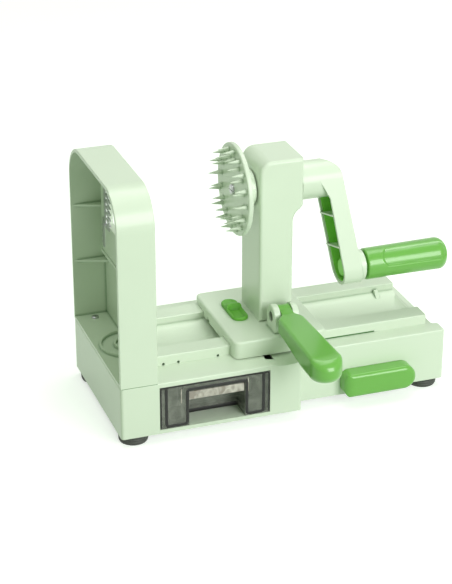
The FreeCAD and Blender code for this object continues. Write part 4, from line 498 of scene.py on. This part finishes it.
def turning_grip():
    """Surface of revolution about X, cut by three hollow grooves along it.

    The radius is the smaller of the round's own and the distance to a groove's cylinder,
    whose axis moves away from the grip where the groove runs out. A short neck at the
    root leaves a dark gap beside the crank's boss.
    """
    neck, lip, root, wide, end = 1.2, 1.6, 12.4, 13.0, 8.0
    spindle, neck_radius, axis_gap = 4.3, 9.6, 0.02
    lip_turn = np.linspace(0, math.pi / 2, 8)
    end_turn = np.linspace(0.04, math.pi / 2 * 0.985, 22)
    lip_along = neck + lip * (1 - np.cos(lip_turn))
    lip_radius = root - lip + lip * np.sin(lip_turn)
    body_along = np.concatenate([np.linspace(neck + lip + 0.6, 11.0, 8),
                                 np.linspace(11.4, 19.0, 34),
                                 np.linspace(20.0, GRIP_LENGTH - end, 20)])
    body_radius = root + (wide - root) * (body_along - lip) / (GRIP_LENGTH - end - lip)
    end_along = GRIP_LENGTH - end + end * np.sin(end_turn)
    end_radius = wide - end + end * np.cos(end_turn)
    along = np.concatenate([[0.0, 0.0, neck], lip_along, body_along, end_along, [GRIP_LENGTH]])
    radius = np.concatenate([[spindle, neck_radius, neck_radius], lip_radius, body_radius,
                             end_radius, [axis_gap]])
    angle = np.radians(np.arange(0, 360, 1.0))
    groove, sink, soft, spared = 20.0, 4.0, 0.16, 9.0
    run_out, run_length, lift = 17.6, 4.6, 1.05
    distance = (wide + groove - sink
                + lift * sink * np.clip((run_out - along) / run_length, 0, 1))
    reach = np.broadcast_to(radius[:, None], (len(along), len(angle))).copy()
    for middle in np.radians([142.5, 262.5, 22.5]):
        away = (angle - middle + math.pi) % (2 * math.pi) - math.pi
        aside = distance[:, None] * np.sin(away)
        depth = np.sqrt(np.clip(groove ** 2 - aside ** 2, 0, None))
        cut = distance[:, None] * np.cos(away) - depth
        inside = (np.abs(aside) < groove) & (np.cos(away) > 0) & (radius[:, None] > spared)
        gap = np.clip((reach - cut) / soft, -8, 8)
        reach = np.where(inside, reach - soft * np.log1p(np.exp(gap)), reach)
    reach = np.maximum(reach, axis_gap)
    piece = skin("hollowed_grip", around_grip(GRIP_ROOT[0] + along, reach, angle), GREEN,
                 "grip", "green_plastic")
    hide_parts("handle_grip")


def spindle_cap():
    """Low round cap over the spindle's head inside the arm, with a rounded edge.

    A surface of revolution about X: straight side, quarter circle, flat face.
    """
    base, radius, height, edge, axis_gap = 196.7, 7.0, 3.2, 1.4, 0.3
    turn = np.linspace(0, math.pi / 2, 8)
    along = np.concatenate([[0.0], height - edge + edge * np.sin(turn), [height]])
    radii = np.concatenate([[radius], radius - edge + edge * np.cos(turn), [axis_gap]])
    angle = np.radians(np.arange(0, 360, 5.0))
    reach = np.broadcast_to(radii[:, None], (len(radii), len(angle)))
    # The cap takes the lighter green of painted light, as the arm's liner does.
    skin("spindle_cap", around_grip(base - along, reach, angle), LIGHTENED_GREEN, "crank",
         "green_plastic")


def latch_slider():
    """Stadium-shaped slide with a rounded rim, dished in front and behind a thumb ridge.

    Height over the plan: the rim falls off as a quarter circle near the outline, and each
    half is a bowl, the front one deeper. The ridge rises on a ramp behind its crest and
    drops as a wall before it; the crest is a half moon from side to side, and bowed in plan.
    """
    left, front, width, length = 108.0, 52.6, 13.0, 37.0
    floor, top, rim, inner_rim = 56.9, 59.5, 1.1, 0.8
    dish, front_dish, dish_run = 0.8, 1.9, 3.0
    ridge, ramp, wall, bow, ridge_back = 4.3, 8.5, 1.7, 1.5, 1.0
    moon_inset, moon_power = 0.3, 0.7
    radius = width / 2
    middle_x = left + radius
    first, last = front + radius, front + length - radius
    crest = front + length / 2 + ridge_back
    turn = np.linspace(0.04, math.pi / 2, 20)
    rows = np.concatenate([first - radius * np.cos(turn),
                           np.linspace(first + 0.4, crest - 4.0, 14),
                           np.linspace(crest - 3.8, crest + 2.4, 44),
                           np.linspace(crest + 2.8, last - 0.4, 18),
                           last + radius * np.sin(turn)])
    rows = np.minimum(rows, front + length - 0.004)
    beyond = np.clip(first - rows, 0, None) + np.clip(rows - last, 0, None)
    half = np.sqrt(np.clip(radius ** 2 - beyond ** 2, 1e-6, None))
    across = np.sin(np.linspace(-math.pi / 2, math.pi / 2, 61))
    x = half[:, None] * across
    from_edge = radius - np.hypot(x, beyond[:, None])
    short = np.clip(rim - from_edge, 0, rim)
    fall = rim - np.sqrt(np.clip(rim ** 2 - short ** 2, 0, None))
    y = rows[:, None] - crest - bow * (1 - (x / radius) ** 2)
    bowl = smooth_step((from_edge - inner_rim) / dish_run)
    moon = np.sqrt(np.clip(1 - (x / (radius - moon_inset)) ** 2, 0, 1)) ** moon_power
    behind = top - fall - dish * bowl + ridge * moon * (1 - smooth_step(y / ramp))
    before = top - fall - front_dish * bowl
    crest_height = top - fall - dish * bowl + ridge * moon
    surface = np.where(y > 0, behind, crest_height + (before - crest_height)
                       * smooth_step(-y / wall))
    ones = np.ones((len(rows), 1))
    xs = np.concatenate([x, half[:, None], -half[:, None]], axis=1)
    zs = np.concatenate([surface, floor * ones, floor * ones], axis=1)
    grid = np.stack([middle_x + xs, np.broadcast_to(rows[:, None], xs.shape), zs], axis=-1)
    piece = skin("latch_slider", grid, MATTE, "latch", "green_plastic")
    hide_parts("latch_button")


def rounded_path(corners, radius):
    """An open line along corners in a plane, each inner corner turned on a parabola."""
    steps = 6
    corners = np.asarray(corners, float)
    points = [corners[:1]]
    share = np.linspace(0, 1, steps)[:, None]
    for before, here, after in zip(corners[:-2], corners[1:-1], corners[2:]):
        start = here + radius * (before - here) / np.linalg.norm(before - here)
        stop = here + radius * (after - here) / np.linalg.norm(after - here)
        points.append((1 - share) ** 2 * start + 2 * share * (1 - share) * here
                      + share ** 2 * stop)
    return np.concatenate(points + [corners[-1:]])


def flat_strip(name, path, width, front, back, material, body, slot):
    """A strip of even width along a line in the XZ plane, from one Y to another.

    Its front face is narrower than the strip and slopes back a little to its sides.
    """
    ahead = np.gradient(path, axis=0)
    ahead /= np.linalg.norm(ahead, axis=1)[:, None]
    aside = np.stack([-ahead[:, 1], ahead[:, 0]], axis=1) * width / 2
    one, other = path + aside, path - aside
    rim, taper = 0.15, 0.2      # depth of the slope, and its share of half the width
    loops = [(one, front + rim), (one - aside * taper, front), (other + aside * taper, front),
             (other, front + rim), (other, back), (one, back)]
    grid = np.stack([np.stack([line[:, 0], np.full(len(line), y), line[:, 1]], axis=1)
                     for line, y in loops], axis=1)
    return skin(name, grid, material, body, slot)


def level_line(start, stop, z):
    """A straight line along X at one height."""
    return np.array([(start, z), (stop, z)])


def drawer_lines():
    """Dark edges of the drawer's clear walls, seen through its front, and light strips of painted
    reflection: one across the pull's back wall and two upright painted highlights in the panes.
    """
    left, right, low, high = 30.4, 118.0, 3.4, 38.5
    pull_left, pull_right, pull_top, pull_back = 53.3, 98.1, 32.2, 18.5
    inset, wall, edge, front, back = 5.0, 1.4, 1.6, 0.1, 1.6
    rim_side, rim_foot, rim_head = 0.7, 0.6, 0.8
    reflection_middle, reflection_width, reflection_front, reflection_back = 27.6, 6.6, 1.4, 3.2
    dark = (OUTLINE, "drawer", "smoky_plastic")
    # The painted reflection finish, for the light strips below.
    clear = (PAINTED_REFLECTION_CLEAR, "drawer", "smoky_plastic")
    route = [(left + inset, high - edge), (left + inset, low + edge),
             (pull_left - wall, low + edge), (pull_left - wall, pull_top + wall),
             (pull_right + wall, pull_top + wall), (pull_right + wall, low + edge),
             (right - inset, low + edge), (right - inset, high - edge)]
    border = [(left + rim_side, low + rim_foot), (left + rim_side, high - rim_head),
              (right - rim_side, high - rim_head), (right - rim_side, low + rim_foot)]
    flat_strip("drawer_wall_edge", rounded_path(route, 2.4), 2.3, front, back, *dark)
    flat_strip("drawer_border", rounded_path(border, 1.4), 1.2, front, back, *dark)
    flat_strip("pull_back_edge", level_line(pull_left + 0.4, pull_right - 0.4, low + 1.7), 2.8,
               pull_back - 0.35, pull_back + 1.0, *dark)
    # Painted reflection: a light flecked strip across the pull's back wall.
    flat_strip("pull_reflection_strip", level_line(pull_left + 0.5, pull_right - 0.5, reflection_middle),
               reflection_width, reflection_front, reflection_back, *clear)
    # Painted highlights: two light upright strips in the side panes.
    for name, x, foot, head in (("left_pane_highlight", 47.2, 23.0, 35.0),
                                ("right_pane_highlight", 100.6, 24.0, 35.5)):
        flat_strip(name, np.array([(x, foot), (x, head)]), 0.8, 0.14, 1.5, *clear)


def base_seam_shades():
    """Painted shade: dark lines where the tower stands on the base and along the slot under the
    rail.
    """
    ledge, slot_middle = 42.4, 43.0
    look = (SEAM_SHADE, "base", "pale_plastic")
    flat_strip("tower_seam_shade", level_line(1.0, 28.7, ledge), 0.42, -0.03, 0.4, *look)
    flat_strip("rail_slot_shade", level_line(141.0, 215.4, slot_middle), 1.1, 28.0, 30.1, *look)


push_lever()
suction_pill()
turning_grip()
spindle_cap()
latch_slider()
drawer_lines()
base_seam_shades()


# ---------------------------------------------------------------- stage and light

def seen_share(tree):
    """1 for rays from the camera, a glossy piece or a clear one, and 0 for all others."""
    path = tree.nodes.new("ShaderNodeLightPath")
    through = math_node(tree, "MAXIMUM", path.outputs["Is Glossy Ray"],
                        path.outputs["Is Transmission Ray"])
    return math_node(tree, "MAXIMUM", path.outputs["Is Camera Ray"], through)


def build_floor():
    """A pale paper floor that keeps the shadow and looks white around it."""
    half, glow = 6.0, 0.62
    mesh = bpy.data.meshes.new("floor")
    mesh.from_pydata([(-half, -half, 0), (half, -half, 0), (half, half, 0), (-half, half, 0)],
                     [], [(0, 1, 2, 3)])
    floor = bpy.data.objects.new("floor", mesh)
    bpy.context.scene.collection.objects.link(floor)
    material, tree, shader = new_material("floor_paper")
    shader.inputs["Base Color"].default_value = linear(204, 213, 204)
    shader.inputs["Roughness"].default_value = 0.9
    shader.inputs["Emission Color"].default_value = (1.0, 1.0, 1.0, 1.0)
    tree.links.new(math_node(tree, "MULTIPLY", seen_share(tree), glow),
                   shader.inputs["Emission Strength"])
    mesh.materials.append(material)


def build_surround():
    """A surround that looks white and gives a low, faintly green light all round."""
    light, light_color = 0.335, (0.74, 1.0, 0.6, 1.0)
    world = bpy.data.worlds.new("surround")
    bpy.context.scene.world = world
    world.use_nodes = True
    tree = world.node_tree
    sky = tree.nodes["Background"]
    seen = seen_share(tree)
    tree.links.new(blend_node(tree, seen, light_color, (1.0, 1.0, 1.0, 1.0)),
                   sky.inputs["Color"])
    strength = math_node(tree, "ADD", math_node(tree, "MULTIPLY", seen, 1.0 - light), light)
    tree.links.new(strength, sky.inputs["Strength"])


def lamp(name, place, aim, width, power):
    """A square soft lamp at a place, facing an aim point."""
    data = bpy.data.lights.new(name, "AREA")
    data.size = width
    data.energy = power
    lamp_object = bpy.data.objects.new(name, data)
    lamp_object.location = place
    direction = Vector(aim) - Vector(place)
    lamp_object.rotation_euler = direction.to_track_quat("-Z", "Y").to_euler()
    bpy.context.scene.collection.objects.link(lamp_object)


place_camera()
build_floor()
build_surround()
lamp("key", (0.51, -1.49, 0.75), (0.0, 0.03, 0.1), 0.95, 20.6)
lamp("top", (0.5, 0.46, 1.6), (0.0, 0.03, 0.05), 0.8, 5.5)
lamp("fill", (-0.2, 0.05, 1.75), (0.0, 0.03, 0.05), 1.2, 9.5)

bpy.context.scene.view_settings.view_transform = "Standard"
